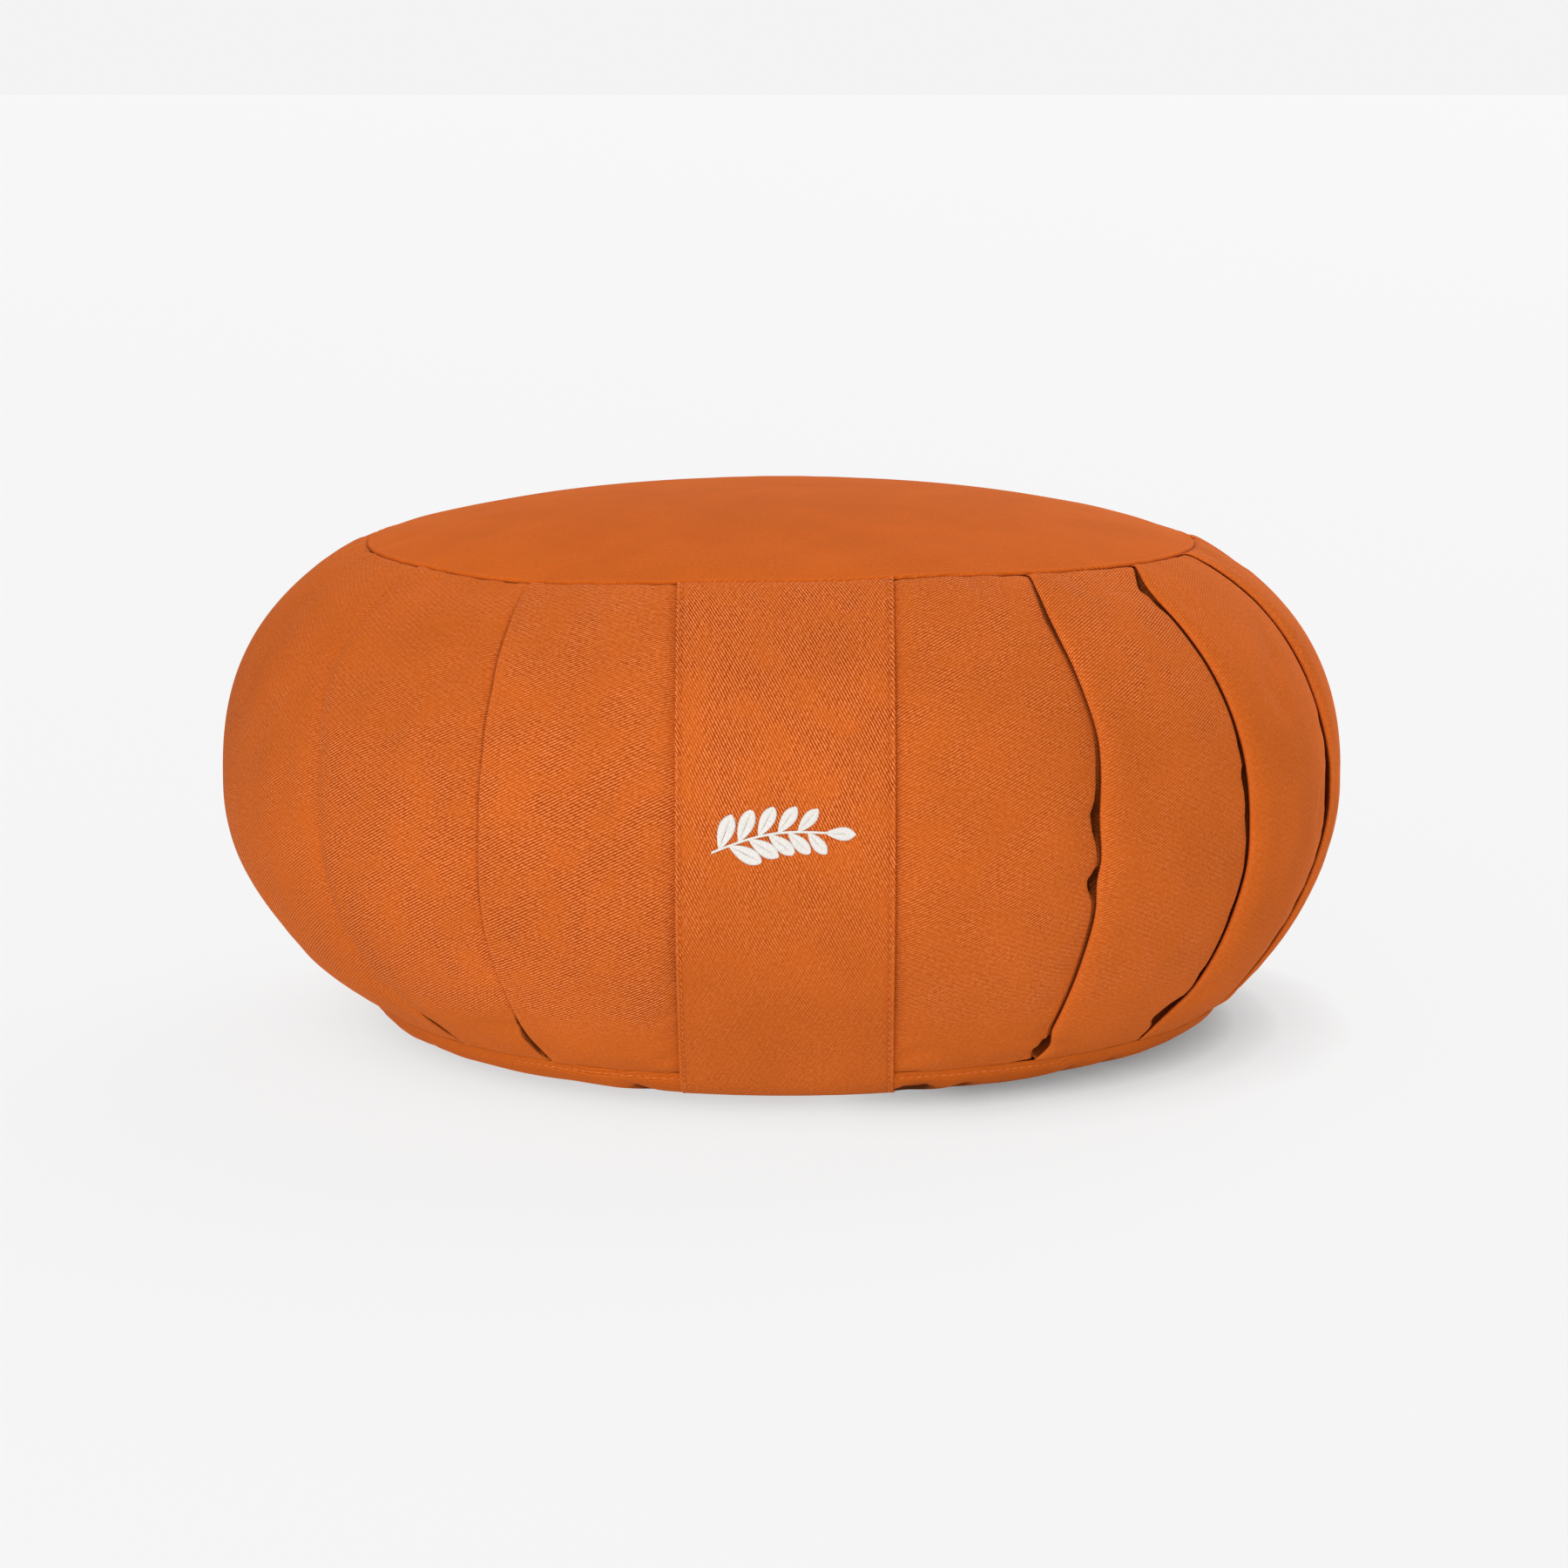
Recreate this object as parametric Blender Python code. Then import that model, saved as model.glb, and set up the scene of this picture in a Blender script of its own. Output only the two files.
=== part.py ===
# Round meditation cushion: a pleated cloth side between two discs, with an upright panel at the front.
# Metres, +Z up. The origin is the middle of the underside, and the front panel faces -Y.

import math

import bmesh
import bpy

# Driving sizes
GIRTH_R = 0.170  # radius at the widest place
GIRTH_Z = 0.0753
TOP_SEAM_R = 0.1255  # seam between the side and the top disc
TOP_SEAM_Z = 0.1482
BASE_SEAM_Z = 0.0108  # seam between the side and the bottom disc
TUCK_R = 0.1255  # where the side's lower curve would end if it ran on to the floor
TUCK_Z = 0.004
CROWN = 0.0158  # the top disc's rise above its seam
CLOTH = 0.0016  # sewn cloth, with its turned-in edge
GAP = 0.0003  # between neighbouring pieces

# How full the curves are: the side above and below the girth, and the crown
UPPER_FULL = (2.58, 0.80)
LOWER_FULL = (2.00, 0.97)
CROWN_FULL = 2.7

# The bottom disc from the edge of its flat middle out to its seam: radius, height
BASE_CURVE = (
    (0.1120, 0.0000),
    (0.1205, 0.0020),
    (0.1272, 0.0042),
    (0.1312, 0.0070),
    (0.1335, 0.0103),
)

# The front panel is a straight strip
PANEL_X = 0.001
PANEL_WIDE = 0.0585
PANEL_BED = -0.0015  # how far the side sinks under the panel
# Its left half, from the turned-in edge to the middle: share of the width, extra thickness
PANEL_THICK = ((0.0, 0.0), (0.02, 0.0004), (0.12, 0.0004), (0.16, 0.0), (0.5, 0.0002))

# Pleat folds in degrees round from the front towards +X, with their gap in the middle
# top seam, girth, bottom seam, gap
RIGHT_FOLDS = (
    (33.3, 31.4, 32.9, 0.0012),
    (52.8, 51.4, 50.0, 0.0013),
    (71.0, 72.0, 69.0, 0.0010),
)
LEFT_FOLDS = (
    (306.6, 308.0, 311.0, 0.0007),
    (326.6, 330.5, 329.3, 0.0007),
)
BACK_FOLDS = 10
BACK_GAP = 0.0010
SWAY = 1.1  # degrees by which the folds at the back lean one way or the other

PLEAT_AT_SEAM = 0.30  # share of the pleats' relief that is left at the seams
SLOT_MIDDLE = 0.0090  # how far a pleat tucks under its neighbour
SLOT_AT_SEAM = 0.0008
SLOT_SINK = 0.30  # slope of the tuck
GAP_AT_SEAM = 0.00035
NOSE = 0.0005  # how far the folded edge rounds over
LIP = 0.0004

# Across a pleat from its folded edge to the next: share of its width, rise over the curve
PLEAT_RISE = ((0.07, 0.0013), (0.28, 0.0018), (0.55, 0.0012), (0.80, 0.0000), (1.00, -0.0017))
FOLD_TOP = 0.0007  # rise of the folded edge itself
SEAM_TO_FOLD = ((0.08, -0.0007), (0.28, 0.0007), (0.55, 0.0009), (0.80, -0.0001), (1.00, -0.0017))
FOLD_TO_SEAM = ((0.07, 0.0013), (0.28, 0.0018), (0.58, 0.0014), (0.86, 0.0000), (0.98, -0.0013))

SIDE_ROWS = 21
PROFILE_STEPS = 400
DISC_SIDES = 96
CROWN_RINGS = (0.30, 0.55, 0.78, 0.93, 1.00)
UNDER_PANEL = 5  # points of the side under the front panel
UNDER_RING = 0.45  # where the flat middle's inner ring of points lies
EVENING = 0.2

ORANGE = (0.565, 0.117, 0.019, 1.0)
ORANGE_SHADE = (0.533, 0.107, 0.017, 1.0)


def side_radius(z):
    """The side's radius at a height, without its pleats."""
    if z >= GIRTH_Z:
        power, root = UPPER_FULL
        share = (z - GIRTH_Z) / (TOP_SEAM_Z - GIRTH_Z)
        end = TOP_SEAM_R
    else:
        power, root = LOWER_FULL
        share = (GIRTH_Z - z) / (GIRTH_Z - TUCK_Z)
        end = TUCK_R
    return end + (GIRTH_R - end) * max(0.0, 1.0 - share**power) ** root


def crown_z(radius):
    return TOP_SEAM_Z + CROWN * (1.0 - (radius / TOP_SEAM_R) ** CROWN_FULL)


def side_rows():
    """Rows at even steps up the side: height share, radius, height and the way out."""
    low = BASE_SEAM_Z + GAP
    high = TOP_SEAM_Z - GAP / 2
    line = []
    for i in range(PROFILE_STEPS + 1):
        z = low + (high - low) * 0.5 * (1.0 - math.cos(math.pi * i / PROFILE_STEPS))
        line.append((side_radius(z), z))
    run = [0.0]
    for (r0, z0), (r1, z1) in zip(line, line[1:]):
        run.append(run[-1] + math.hypot(r1 - r0, z1 - z0))

    rows = []
    for k in range(SIDE_ROWS):
        wanted = run[-1] * k / (SIDE_ROWS - 1)
        i = min(range(len(run)), key=lambda j: abs(run[j] - wanted))
        r, z = line[i]
        before, after = line[max(i - 1, 0)], line[min(i + 1, PROFILE_STEPS)]
        along = math.hypot(after[0] - before[0], after[1] - before[1])
        out = ((after[1] - before[1]) / along, -(after[0] - before[0]) / along)
        seam = TOP_SEAM_Z if z > GIRTH_Z else BASE_SEAM_Z
        share = (z - GIRTH_Z) / abs(seam - GIRTH_Z)
        rows.append((share, r, z, out))
    return rows


def all_folds():
    """The folds in order round the cushion, the ones at the back evenly spaced."""
    folds = list(RIGHT_FOLDS)
    start, end = RIGHT_FOLDS[-1][1], LEFT_FOLDS[0][1]
    for k in range(1, BACK_FOLDS + 1):
        middle = start + (end - start) * k / (BACK_FOLDS + 1)
        lean = SWAY * math.sin(2.4 * k)
        folds.append((middle + lean, middle, middle - lean, BACK_GAP))
    folds.extend(LEFT_FOLDS)
    return folds


def fold_angle(fold, share):
    top, middle, base, _ = fold
    return middle + share * (top - base) / 2 + share**2 * ((top + base) / 2 - middle)


def panel_edge(radius, side):
    """The angle at which the front panel's straight edge crosses the side."""
    return math.degrees(math.asin((PANEL_X + side * PANEL_WIDE / 2) / radius))


def side_section(row, folds):
    """One level of the side: pairs of angle and rise over the curve, all the way round."""
    share, radius, _, _ = row
    relief = PLEAT_AT_SEAM + (1.0 - PLEAT_AT_SEAM) * (1.0 - share**4)
    slot = SLOT_AT_SEAM + (SLOT_MIDDLE - SLOT_AT_SEAM) * (1.0 - share**4)
    turn = math.degrees(1.0 / radius)

    right_edge = panel_edge(radius, 1)
    left_edge = panel_edge(radius, -1)
    points = []
    for k in range(UNDER_PANEL + 1):
        points.append((left_edge + (right_edge - left_edge) * k / UNDER_PANEL, PANEL_BED))

    stops = [fold_angle(fold, share) for fold in folds] + [left_edge + 360.0]
    start = right_edge
    for number, stop in enumerate(stops):
        if number == 0:
            shape = SEAM_TO_FOLD
        elif number == len(folds):
            shape = FOLD_TO_SEAM
        else:
            shape = PLEAT_RISE
        for across, rise in shape:
            points.append((start + (stop - start) * across, rise * relief))
        if number < len(folds):
            under = PLEAT_RISE[-1][1] * relief
            gap = GAP_AT_SEAM + (folds[number][3] - GAP_AT_SEAM) * (1.0 - share**4)
            inner = stop + slot * turn
            sunk = under - SLOT_SINK * slot
            points.append((inner, sunk))
            points.append((inner, sunk + gap))
            points.append((stop + LIP * turn, under + gap))
            points.append((stop - NOSE * turn * relief, under + gap + LIP * relief))
            points.append((stop, FOLD_TOP * relief))
        start = stop
    return points


def place(angle, radius, z):
    a = math.radians(angle)
    return (radius * math.sin(a), -radius * math.cos(a), z)


def make_cloth(name, colour, roughness):
    material = bpy.data.materials.new(name)
    material.use_nodes = True
    shader = material.node_tree.nodes["Principled BSDF"]
    shader.inputs["Base Color"].default_value = colour
    shader.inputs["Roughness"].default_value = roughness
    shader.inputs["Metallic"].default_value = 0.0
    material.diffuse_color = colour
    return material


def loft(name, rings, material, poles=None):
    """A closed solid through rings of equal length, ended by poles or, on a strip, by quads."""
    work = bmesh.new()
    loops = [[work.verts.new(point) for point in ring] for ring in rings]
    count = len(rings[0])
    for lower, upper in zip(loops, loops[1:]):
        for i in range(count):
            j = (i + 1) % count
            work.faces.new((lower[i], lower[j], upper[j], upper[i]))
    for loop, end in ((loops[0], 0), (loops[-1], 1)):
        if poles is None:
            for i in range(count // 2 - 1):
                work.faces.new((loop[i], loop[i + 1], loop[count - 2 - i], loop[count - 1 - i]))
            continue
        pole = work.verts.new(poles[end])
        for i in range(count):
            work.faces.new((loop[i], loop[(i + 1) % count], pole))
    bmesh.ops.recalc_face_normals(work, faces=work.faces)
    mesh = bpy.data.meshes.new(name)
    work.to_mesh(mesh)
    work.free()
    mesh.shade_smooth()
    mesh.set_sharp_from_angle(angle=math.radians(35))
    piece = bpy.data.objects.new(name, mesh)
    piece.data.materials.append(material)
    bpy.context.collection.objects.link(piece)
    return piece


def offset_line(line, distance):
    """The line of radius and height moved sideways, towards the inside of the cushion."""
    moved = []
    for i, (r, z) in enumerate(line):
        before, after = line[max(i - 1, 0)], line[min(i + 1, len(line) - 1)]
        along = math.hypot(after[0] - before[0], after[1] - before[1])
        moved.append((
            r - distance * (after[1] - before[1]) / along,
            z + distance * (after[0] - before[0]) / along,
        ))
    return moved


def ring(angles, radius, z):
    return [place(angle, radius, z) for angle in angles]


def ordered_angles(angles):
    """The same angles in growing order, drawn a little towards an even spacing."""
    count = len(angles)
    start = min(angles)
    return [
        (1.0 - EVENING) * angle + EVENING * (start + 360.0 * i / count)
        for i, angle in enumerate(sorted(angles))
    ]


def make_side():
    """The filled body: bottom face, pleated side and crowned top face."""
    folds = all_folds()
    rows = side_rows()
    sections = [side_section(row, folds) for row in rows]

    # Under the discs the tucks have ended, so the points there go round in order
    plain = ordered_angles([angle for angle, _ in sections[-1]])
    rings = []
    base = offset_line(BASE_CURVE, CLOTH + GAP)
    lowest = base[0][1]
    for radius in (UNDER_RING * BASE_CURVE[0][0], BASE_CURVE[0][0]):
        rings.append(ring(plain, radius, lowest))
    for radius, z in base[1:]:
        rings.append(ring(plain, radius, z))
    for (_, radius, z, out), section in zip(rows, sections):
        rings.append([place(a, radius + rise * out[0], z + rise * out[1]) for a, rise in section])
    for share in reversed(CROWN_RINGS):
        radius = share * TOP_SEAM_R
        rings.append(ring(plain, radius, crown_z(radius) - CLOTH - GAP))
    poles = ((0, 0, lowest), (0, 0, crown_z(0) - CLOTH - GAP))
    return loft("pleated_side", rings, make_cloth("pleated_twill", ORANGE, 0.85), poles)


def make_disc(name, outer, inner, cloth):
    """A round of cloth from two lines of radius and height, both from the middle out to the edge."""
    angles = [360.0 * i / DISC_SIDES for i in range(DISC_SIDES)]
    rings = [ring(angles, radius, z) for radius, z in outer[1:] + inner[:0:-1]]
    return loft(name, rings, cloth, ((0, 0, outer[0][1]), (0, 0, inner[0][1])))


def make_top():
    edge = TOP_SEAM_R - GAP
    outer = [(share * edge, crown_z(share * edge)) for share in (0.0,) + CROWN_RINGS]
    inner = [(radius, z - CLOTH) for radius, z in outer]
    return make_disc("top_panel", outer, inner, make_cloth("top_twill", ORANGE_SHADE, 0.85))


def make_bottom():
    flat = [(0.0, 0.0), (UNDER_RING * BASE_CURVE[0][0], 0.0)]
    outer = flat + list(BASE_CURVE)
    inner = [(radius, CLOTH) for radius, _ in flat] + offset_line(BASE_CURVE, CLOTH)
    return make_disc("bottom_panel", outer, inner, make_cloth("base_twill", ORANGE_SHADE, 0.88))


def make_front():
    """The upright strip: one loop round its thickness for each row of the side."""
    under = PANEL_BED + GAP
    left_half = PANEL_THICK[:-1]
    columns = PANEL_THICK + tuple((1.0 - share, extra) for share, extra in reversed(left_half))
    loop = [(share, under + CLOTH + extra) for share, extra in columns]
    loop += [(share, under) for share, _ in reversed(columns)]
    rings = []
    for _, radius, z, out in side_rows():
        start, end = panel_edge(radius, -1), panel_edge(radius, 1)
        rings.append([
            place(start + (end - start) * share, radius + rise * out[0], z + rise * out[1])
            for share, rise in loop
        ])
    return loft("front_panel", rings, make_cloth("front_twill", ORANGE, 0.85))


def main():
    for old in list(bpy.data.objects):
        bpy.data.objects.remove(old)
    make_side()
    make_top()
    make_bottom()
    make_front()


main()
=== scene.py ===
# %% [markdown]
# # A round pleated floor cushion
#
# The real cushion is cotton twill sewn round loose grain husks. One long strip, folded into
# pleats, makes the side. A round disc closes it above and another below, and a plain upright
# panel at the front hides the place where the strip's two ends meet.
#
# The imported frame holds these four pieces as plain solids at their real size. This script
# dresses them. It lays soft cloth with folds, stitches and a weave over each solid, and hides
# the solid that the cloth stands for.

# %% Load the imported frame
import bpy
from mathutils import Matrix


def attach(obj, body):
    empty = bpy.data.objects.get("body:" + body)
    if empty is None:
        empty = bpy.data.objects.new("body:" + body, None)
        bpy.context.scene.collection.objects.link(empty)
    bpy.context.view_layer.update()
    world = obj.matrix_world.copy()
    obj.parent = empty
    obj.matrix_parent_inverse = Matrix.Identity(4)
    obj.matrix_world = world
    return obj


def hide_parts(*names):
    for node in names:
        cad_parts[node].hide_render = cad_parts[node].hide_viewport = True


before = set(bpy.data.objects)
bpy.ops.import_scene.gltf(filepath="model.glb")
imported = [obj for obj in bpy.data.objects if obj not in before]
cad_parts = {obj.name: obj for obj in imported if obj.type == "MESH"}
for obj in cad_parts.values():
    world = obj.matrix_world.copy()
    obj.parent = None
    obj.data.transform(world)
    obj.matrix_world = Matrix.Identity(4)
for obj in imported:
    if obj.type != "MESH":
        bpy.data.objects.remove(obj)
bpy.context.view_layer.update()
print("nodes:", sorted(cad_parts))

# %% Plain tools that every step uses
import math

import bpy
import mathutils
import numpy as np

MM = 0.001
BODY = "root"  # cloth has no joints, so the row has one body


def linear(code):
    """An sRGB hex colour as linear red, green, blue and alpha."""
    parts = [int(code[i:i + 2], 16) / 255 for i in (0, 2, 4)]
    return tuple(p / 12.92 if p <= 0.04045 else ((p + 0.055) / 1.055) ** 2.4 for p in parts) + (1.0,)


def fill(tree, node, inputs):
    """Sets a node's inputs by name or number, and links those that come from another node."""
    for key, value in inputs.items():
        if isinstance(value, bpy.types.NodeSocket):
            tree.links.new(value, node.inputs[key])
        else:
            node.inputs[key].default_value = value


def add(tree, kind, inputs=None, **settings):
    """Adds a node, sets it up, fills its inputs, and returns it."""
    made = tree.nodes.new(kind)
    for name, value in settings.items():
        setattr(made, name, value)
    fill(tree, made, inputs or {})
    return made


def calc(tree, operation, *values):
    """Adds a calculation on one to three values and returns its result."""
    return add(tree, "ShaderNodeMath", dict(enumerate(values)), operation=operation).outputs[0]


def ranged(tree, value, *limits):
    """Takes a value from one range (low, high) to another and returns the result."""
    return add(tree, "ShaderNodeMapRange", dict(enumerate((value, *limits)))).outputs[0]


def noise(tree, spot, scale, detail, roughness=0.5):
    """Adds a noise and returns its level."""
    inputs = {"Vector": spot, "Scale": scale, "Detail": detail, "Roughness": roughness}
    return add(tree, "ShaderNodeTexNoise", inputs).outputs[0]


def new_material(name):
    """A new material, its node tree and its shader."""
    made = bpy.data.materials.new(name)
    made.use_nodes = True
    return made, made.node_tree, made.node_tree.nodes["Principled BSDF"]


def put_in_scene(name, data):
    """A new object in the scene for a mesh, a lamp or a camera."""
    made = bpy.data.objects.new(name, data)
    bpy.context.collection.objects.link(made)
    return made


def fade(distance, reach, power=2):
    """One at no distance, and falling away over a reach; a higher power gives a flatter top."""
    return np.exp(-((distance / reach) ** power))


def smooth_step(value):
    """From 0 to 1 with soft ends, as the value goes from 0 to 1."""
    t = np.clip(value, 0.0, 1.0)
    return t * t * (3.0 - 2.0 * t)


# %% [markdown]
# ## Camera
#
# A product photograph like this one is taken from a little above the object with a long lens,
# so that the front looks tall and the top is a thin oval. The angle comes from that oval: its
# height against its width gives how far the camera looks down. The lens and distance come from
# how much wider the near parts look than the far ones.

# %% Camera
PHOTO_SIDE = 1800  # pixels
LOOK_DOWN = math.radians(8.96)
DISTANCE = 1.34139
FOCAL_LENGTH = 100.04  # mm
SENSOR = 36.0  # mm
AIM_HEIGHT = 0.076
AIM_PIXEL = (896.5, 885.5)  # where the point at that height lands

lens = bpy.data.cameras.new("photo_camera")
lens.sensor_fit = "HORIZONTAL"
lens.sensor_width = SENSOR
lens.lens = FOCAL_LENGTH
lens.shift_x = (PHOTO_SIDE / 2 - AIM_PIXEL[0]) / PHOTO_SIDE
lens.shift_y = (AIM_PIXEL[1] - PHOTO_SIDE / 2) / PHOTO_SIDE
lens.clip_end = 300.0
camera = put_in_scene("photo_camera", lens)
camera.location = (
    0.0,
    -DISTANCE * math.cos(LOOK_DOWN),
    AIM_HEIGHT + DISTANCE * math.sin(LOOK_DOWN),
)
camera.rotation_euler = (math.pi / 2 - LOOK_DOWN, 0.0, 0.0)
bpy.context.scene.camera = camera
print("camera at", [round(v, 3) for v in camera.location])

# %% [markdown]
# ## Floor and light
#
# The photograph has a plain white floor and soft light from all round. A large lamp stands low in
# front, a softer one behind on the right gives the top its bright rim, and a small soft box at
# the front left brightens the first left pleat. The sky is nearly as bright as the floor at its
# edge and dimmer above. The lamps are wide, so that the shadows' edges are soft.
#
# The floor is a sheet that glows evenly, like opal acrylic over a light table. It reflects
# little, so it takes hardly any colour from the cushion. Its shadow is painted: the glow is dimmed
# where the occlusion node finds the cushion close over it, and dimmed more to the right.

# %% Floor and light
FLOOR_X, FLOOR_Y = (-120.0, 200.0), (-120.0, 120.0)  # metres; its far edge lies on the horizon
FLOOR_Z = -0.0002
# Lamps: degrees from the front towards +X, degrees up, strength, how wide it looks in degrees
FRONT_KEY = (-15.0, 22.0, 0.955, 25.0)
BACK_KEY = (150.0, 35.0, 1.51, 40.0)
SOFT_BOX = {"at": (-0.28, -0.62, 0.42), "aim": (-0.06, -0.16, 0.10), "side": 0.22, "watts": 0.46}
SKY_EDGE = 0.90
SKY_ABOVE = 0.65
SKY_BAND = (0.03, 0.12)  # sines of the angles between which the bright edge fades
PAPER_GLOW = 0.84
PAINTED_SHADOW_REACH = (0.010, 0.020, 0.036)  # metres, averaged so that the painted shadow ends softly
PAINTED_SHADOW_TILT = (-0.50, -0.66, 0.56)  # the painted shadow beneath falls to the right and back
PAINTED_SHADOW_SPAN = (0.015, 0.055)  # metres to the right of the middle between which the painted shadow deepens
PAINTED_SHADOW_DEPTH = (0.40, 1.0)  # left and right of that
MATT = {"Roughness": 0.95, "Specular IOR Level": 0.05}


def floor_with_painted_shadow(name):
    """A glowing sheet with a painted shadow: its glow is dimmed where something stands close over it."""
    made, tree, shader = new_material(name)
    lean_out = add(tree, "ShaderNodeCombineXYZ", dict(enumerate(PAINTED_SHADOW_TILT))).outputs[0]
    unoccluded = 0.0
    for reach in PAINTED_SHADOW_REACH:
        look = {"Distance": reach, "Normal": lean_out}
        close_by = add(tree, "ShaderNodeAmbientOcclusion", look, samples=4)
        unoccluded = calc(tree, "MULTIPLY_ADD", close_by.outputs["AO"], 1.0 / len(PAINTED_SHADOW_REACH), unoccluded)
    spot = add(tree, "ShaderNodeTexCoord").outputs["Object"]
    to_right = add(tree, "ShaderNodeSeparateXYZ", {0: spot}).outputs["X"]
    depth = ranged(tree, to_right, *PAINTED_SHADOW_SPAN, *PAINTED_SHADOW_DEPTH)
    # Painted shadow: the glow is dimmed by what the occlusion finds, more so to the right.
    painted_shadow = calc(tree, "SUBTRACT", unoccluded, 1.0)
    glow = calc(tree, "MULTIPLY_ADD", painted_shadow, depth, 1.0)
    fill(tree, shader, {"Emission Color": glow, "Emission Strength": PAPER_GLOW})
    fill(tree, shader, {"Base Color": linear("454545"), **MATT})
    return made


def broad_lamp(name, around, up, strength, width):
    """A wide lamp far off, given by its direction and by how wide it looks."""
    lamp = bpy.data.lights.new(name, "SUN")
    lamp.energy = strength
    lamp.angle = math.radians(width)
    holder = put_in_scene(name, lamp)
    holder.rotation_euler = (math.radians(90.0 - up), 0.0, math.radians(around))


def soft_box(name, at, aim, side, watts):
    """A small square lamp near the cushion, turned to face a point on it."""
    lamp = bpy.data.lights.new(name, "AREA")
    lamp.energy = watts
    lamp.size = side
    holder = put_in_scene(name, lamp)
    holder.location = at
    back = mathutils.Vector(at) - mathutils.Vector(aim)
    holder.rotation_euler = back.to_track_quat("Z", "Y").to_euler()


def soft_sky(name):
    """A white sky, bright along its edge and dimmer above."""
    world = bpy.data.worlds.new(name)
    world.use_nodes = True
    tree = world.node_tree
    way = add(tree, "ShaderNodeTexCoord").outputs["Generated"]
    up = add(tree, "ShaderNodeSeparateXYZ", {0: way}).outputs["Z"]
    level = ranged(tree, up, *SKY_BAND, SKY_EDGE, SKY_ABOVE)
    fill(tree, tree.nodes["Background"], {"Color": (1.0, 1.0, 1.0, 1.0), "Strength": level})
    return world


bpy.context.scene.view_settings.view_transform = "Standard"
bpy.context.scene.world = soft_sky("soft_sky")

floor_mesh = bpy.data.meshes.new("floor")
corners = [(FLOOR_X[i], FLOOR_Y[j], FLOOR_Z) for i, j in ((0, 0), (1, 0), (1, 1), (0, 1))]
floor_mesh.from_pydata(corners, [], [(0, 1, 2, 3)])
floor_mesh.materials.append(floor_with_painted_shadow("floor_painted_shadow"))
put_in_scene("floor", floor_mesh)

broad_lamp("front_key", *FRONT_KEY)
broad_lamp("back_key", *BACK_KEY)
soft_box("left_soft_box", **SOFT_BOX)
print("keys", FRONT_KEY[2], BACK_KEY[2], "sky", SKY_EDGE, "to", SKY_ABOVE)

# %% [markdown]
# ## The curve of the side
#
# Filled with husks, the side bulges to a girth of 340 mm about half way up and pulls in to the
# seams above and below. Two power curves that meet at the girth follow the photograph's outline.
# Everything that lies on the side is placed by its run along this curve from the lower seam,
# by its angle round the cushion, and by its rise over the curve, so that the cloth, the front
# panel and the thread all stay together. Below the lower seam the curve runs on over the rim.

# %% The curve of the side
GIRTH_R = 0.170
GIRTH_Z = 0.0753
TOP_SEAM_R = 0.1255
TOP_SEAM_Z = 0.1482
BASE_SEAM_Z = 0.0108
TUCK_R, TUCK_Z = 0.1255, 0.004  # where the lower curve would end, if it ran on below the seam
# How full the curve is above and below the girth: powers of the height's share and of the rest
FULL_ABOVE = (2.58, 0.80)
FULL_BELOW = (2.00, 0.97)
# The rim under the lower seam, from the flat middle out to the seam: radius, height
RIM_CURVE = ((0.1120, 0.0), (0.1205, 0.0020), (0.1272, 0.0042), (0.1312, 0.0070), (0.1335, 0.0103))


def side_radius(z):
    """The side's plain radius at each height."""
    upper = np.clip((z - GIRTH_Z) / (TOP_SEAM_Z - GIRTH_Z), 0.0, 1.0)
    lower = np.clip((GIRTH_Z - z) / (GIRTH_Z - TUCK_Z), 0.0, 1.0)
    above = TOP_SEAM_R + (GIRTH_R - TOP_SEAM_R) * (1.0 - upper ** FULL_ABOVE[0]) ** FULL_ABOVE[1]
    below = TUCK_R + (GIRTH_R - TUCK_R) * (1.0 - lower ** FULL_BELOW[0]) ** FULL_BELOW[1]
    return np.where(z >= GIRTH_Z, above, below)


def run_along(r, z):
    """The length run so far at each point of a line."""
    return np.concatenate([[0.0], np.cumsum(np.hypot(np.diff(r), np.diff(z)))])


def rounded(values, count=240, blur=61):
    """The values joined by a line of many points with its corners rounded off."""
    rough = np.linspace(0.0, 1.0, len(values))
    fine = np.linspace(-0.25, 1.25, int(count * 1.5) + 1)
    line = np.interp(fine, rough, values)
    line = np.where(fine < 0, values[0] + (values[1] - values[0]) * 4 * fine * (values[0] > 0), line)
    line = np.where(fine > 1, values[-1] + (values[-1] - values[-2]) * 4 * (fine - 1), line)
    bell = np.hanning(blur)
    smooth = np.convolve(line, bell / bell.sum(), "same")
    return smooth[(fine >= 0) & (fine <= 1)]


turns = np.linspace(0.0, math.pi, 4001)
side_z = BASE_SEAM_Z + (TOP_SEAM_Z - BASE_SEAM_Z) * 0.5 * (1.0 - np.cos(turns))
side_r = side_radius(side_z)
rim_r = rounded(np.array([r for r, _ in RIM_CURVE]))
rim_z = rounded(np.array([z for _, z in RIM_CURVE]))
rim_run = run_along(rim_r, rim_z)
RIM_LENGTH = float(rim_run[-1])
curve_run = np.concatenate([rim_run[:-1] - RIM_LENGTH, run_along(side_r, side_z)])
curve_r = np.concatenate([rim_r[:-1], side_r])
curve_z = np.concatenate([rim_z[:-1], side_z])
SIDE_LENGTH = float(curve_run[-1])
print("the side is %.1f mm long from seam to seam, the rim %.1f mm" % (SIDE_LENGTH / MM, RIM_LENGTH / MM))


def on_curve(run):
    """Radius, height and the way out (radial, upward) at each run along the side."""
    step = 0.0006
    r = np.interp(run, curve_run, curve_r)
    z = np.interp(run, curve_run, curve_z)
    low = np.clip(run - step, -RIM_LENGTH, SIDE_LENGTH)
    high = np.clip(run + step, -RIM_LENGTH, SIDE_LENGTH)
    along_r = np.interp(high, curve_run, curve_r) - np.interp(low, curve_run, curve_r)
    along_z = np.interp(high, curve_run, curve_z) - np.interp(low, curve_run, curve_z)
    size = np.hypot(along_r, along_z)
    return r, z, along_z / size, -along_r / size


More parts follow.
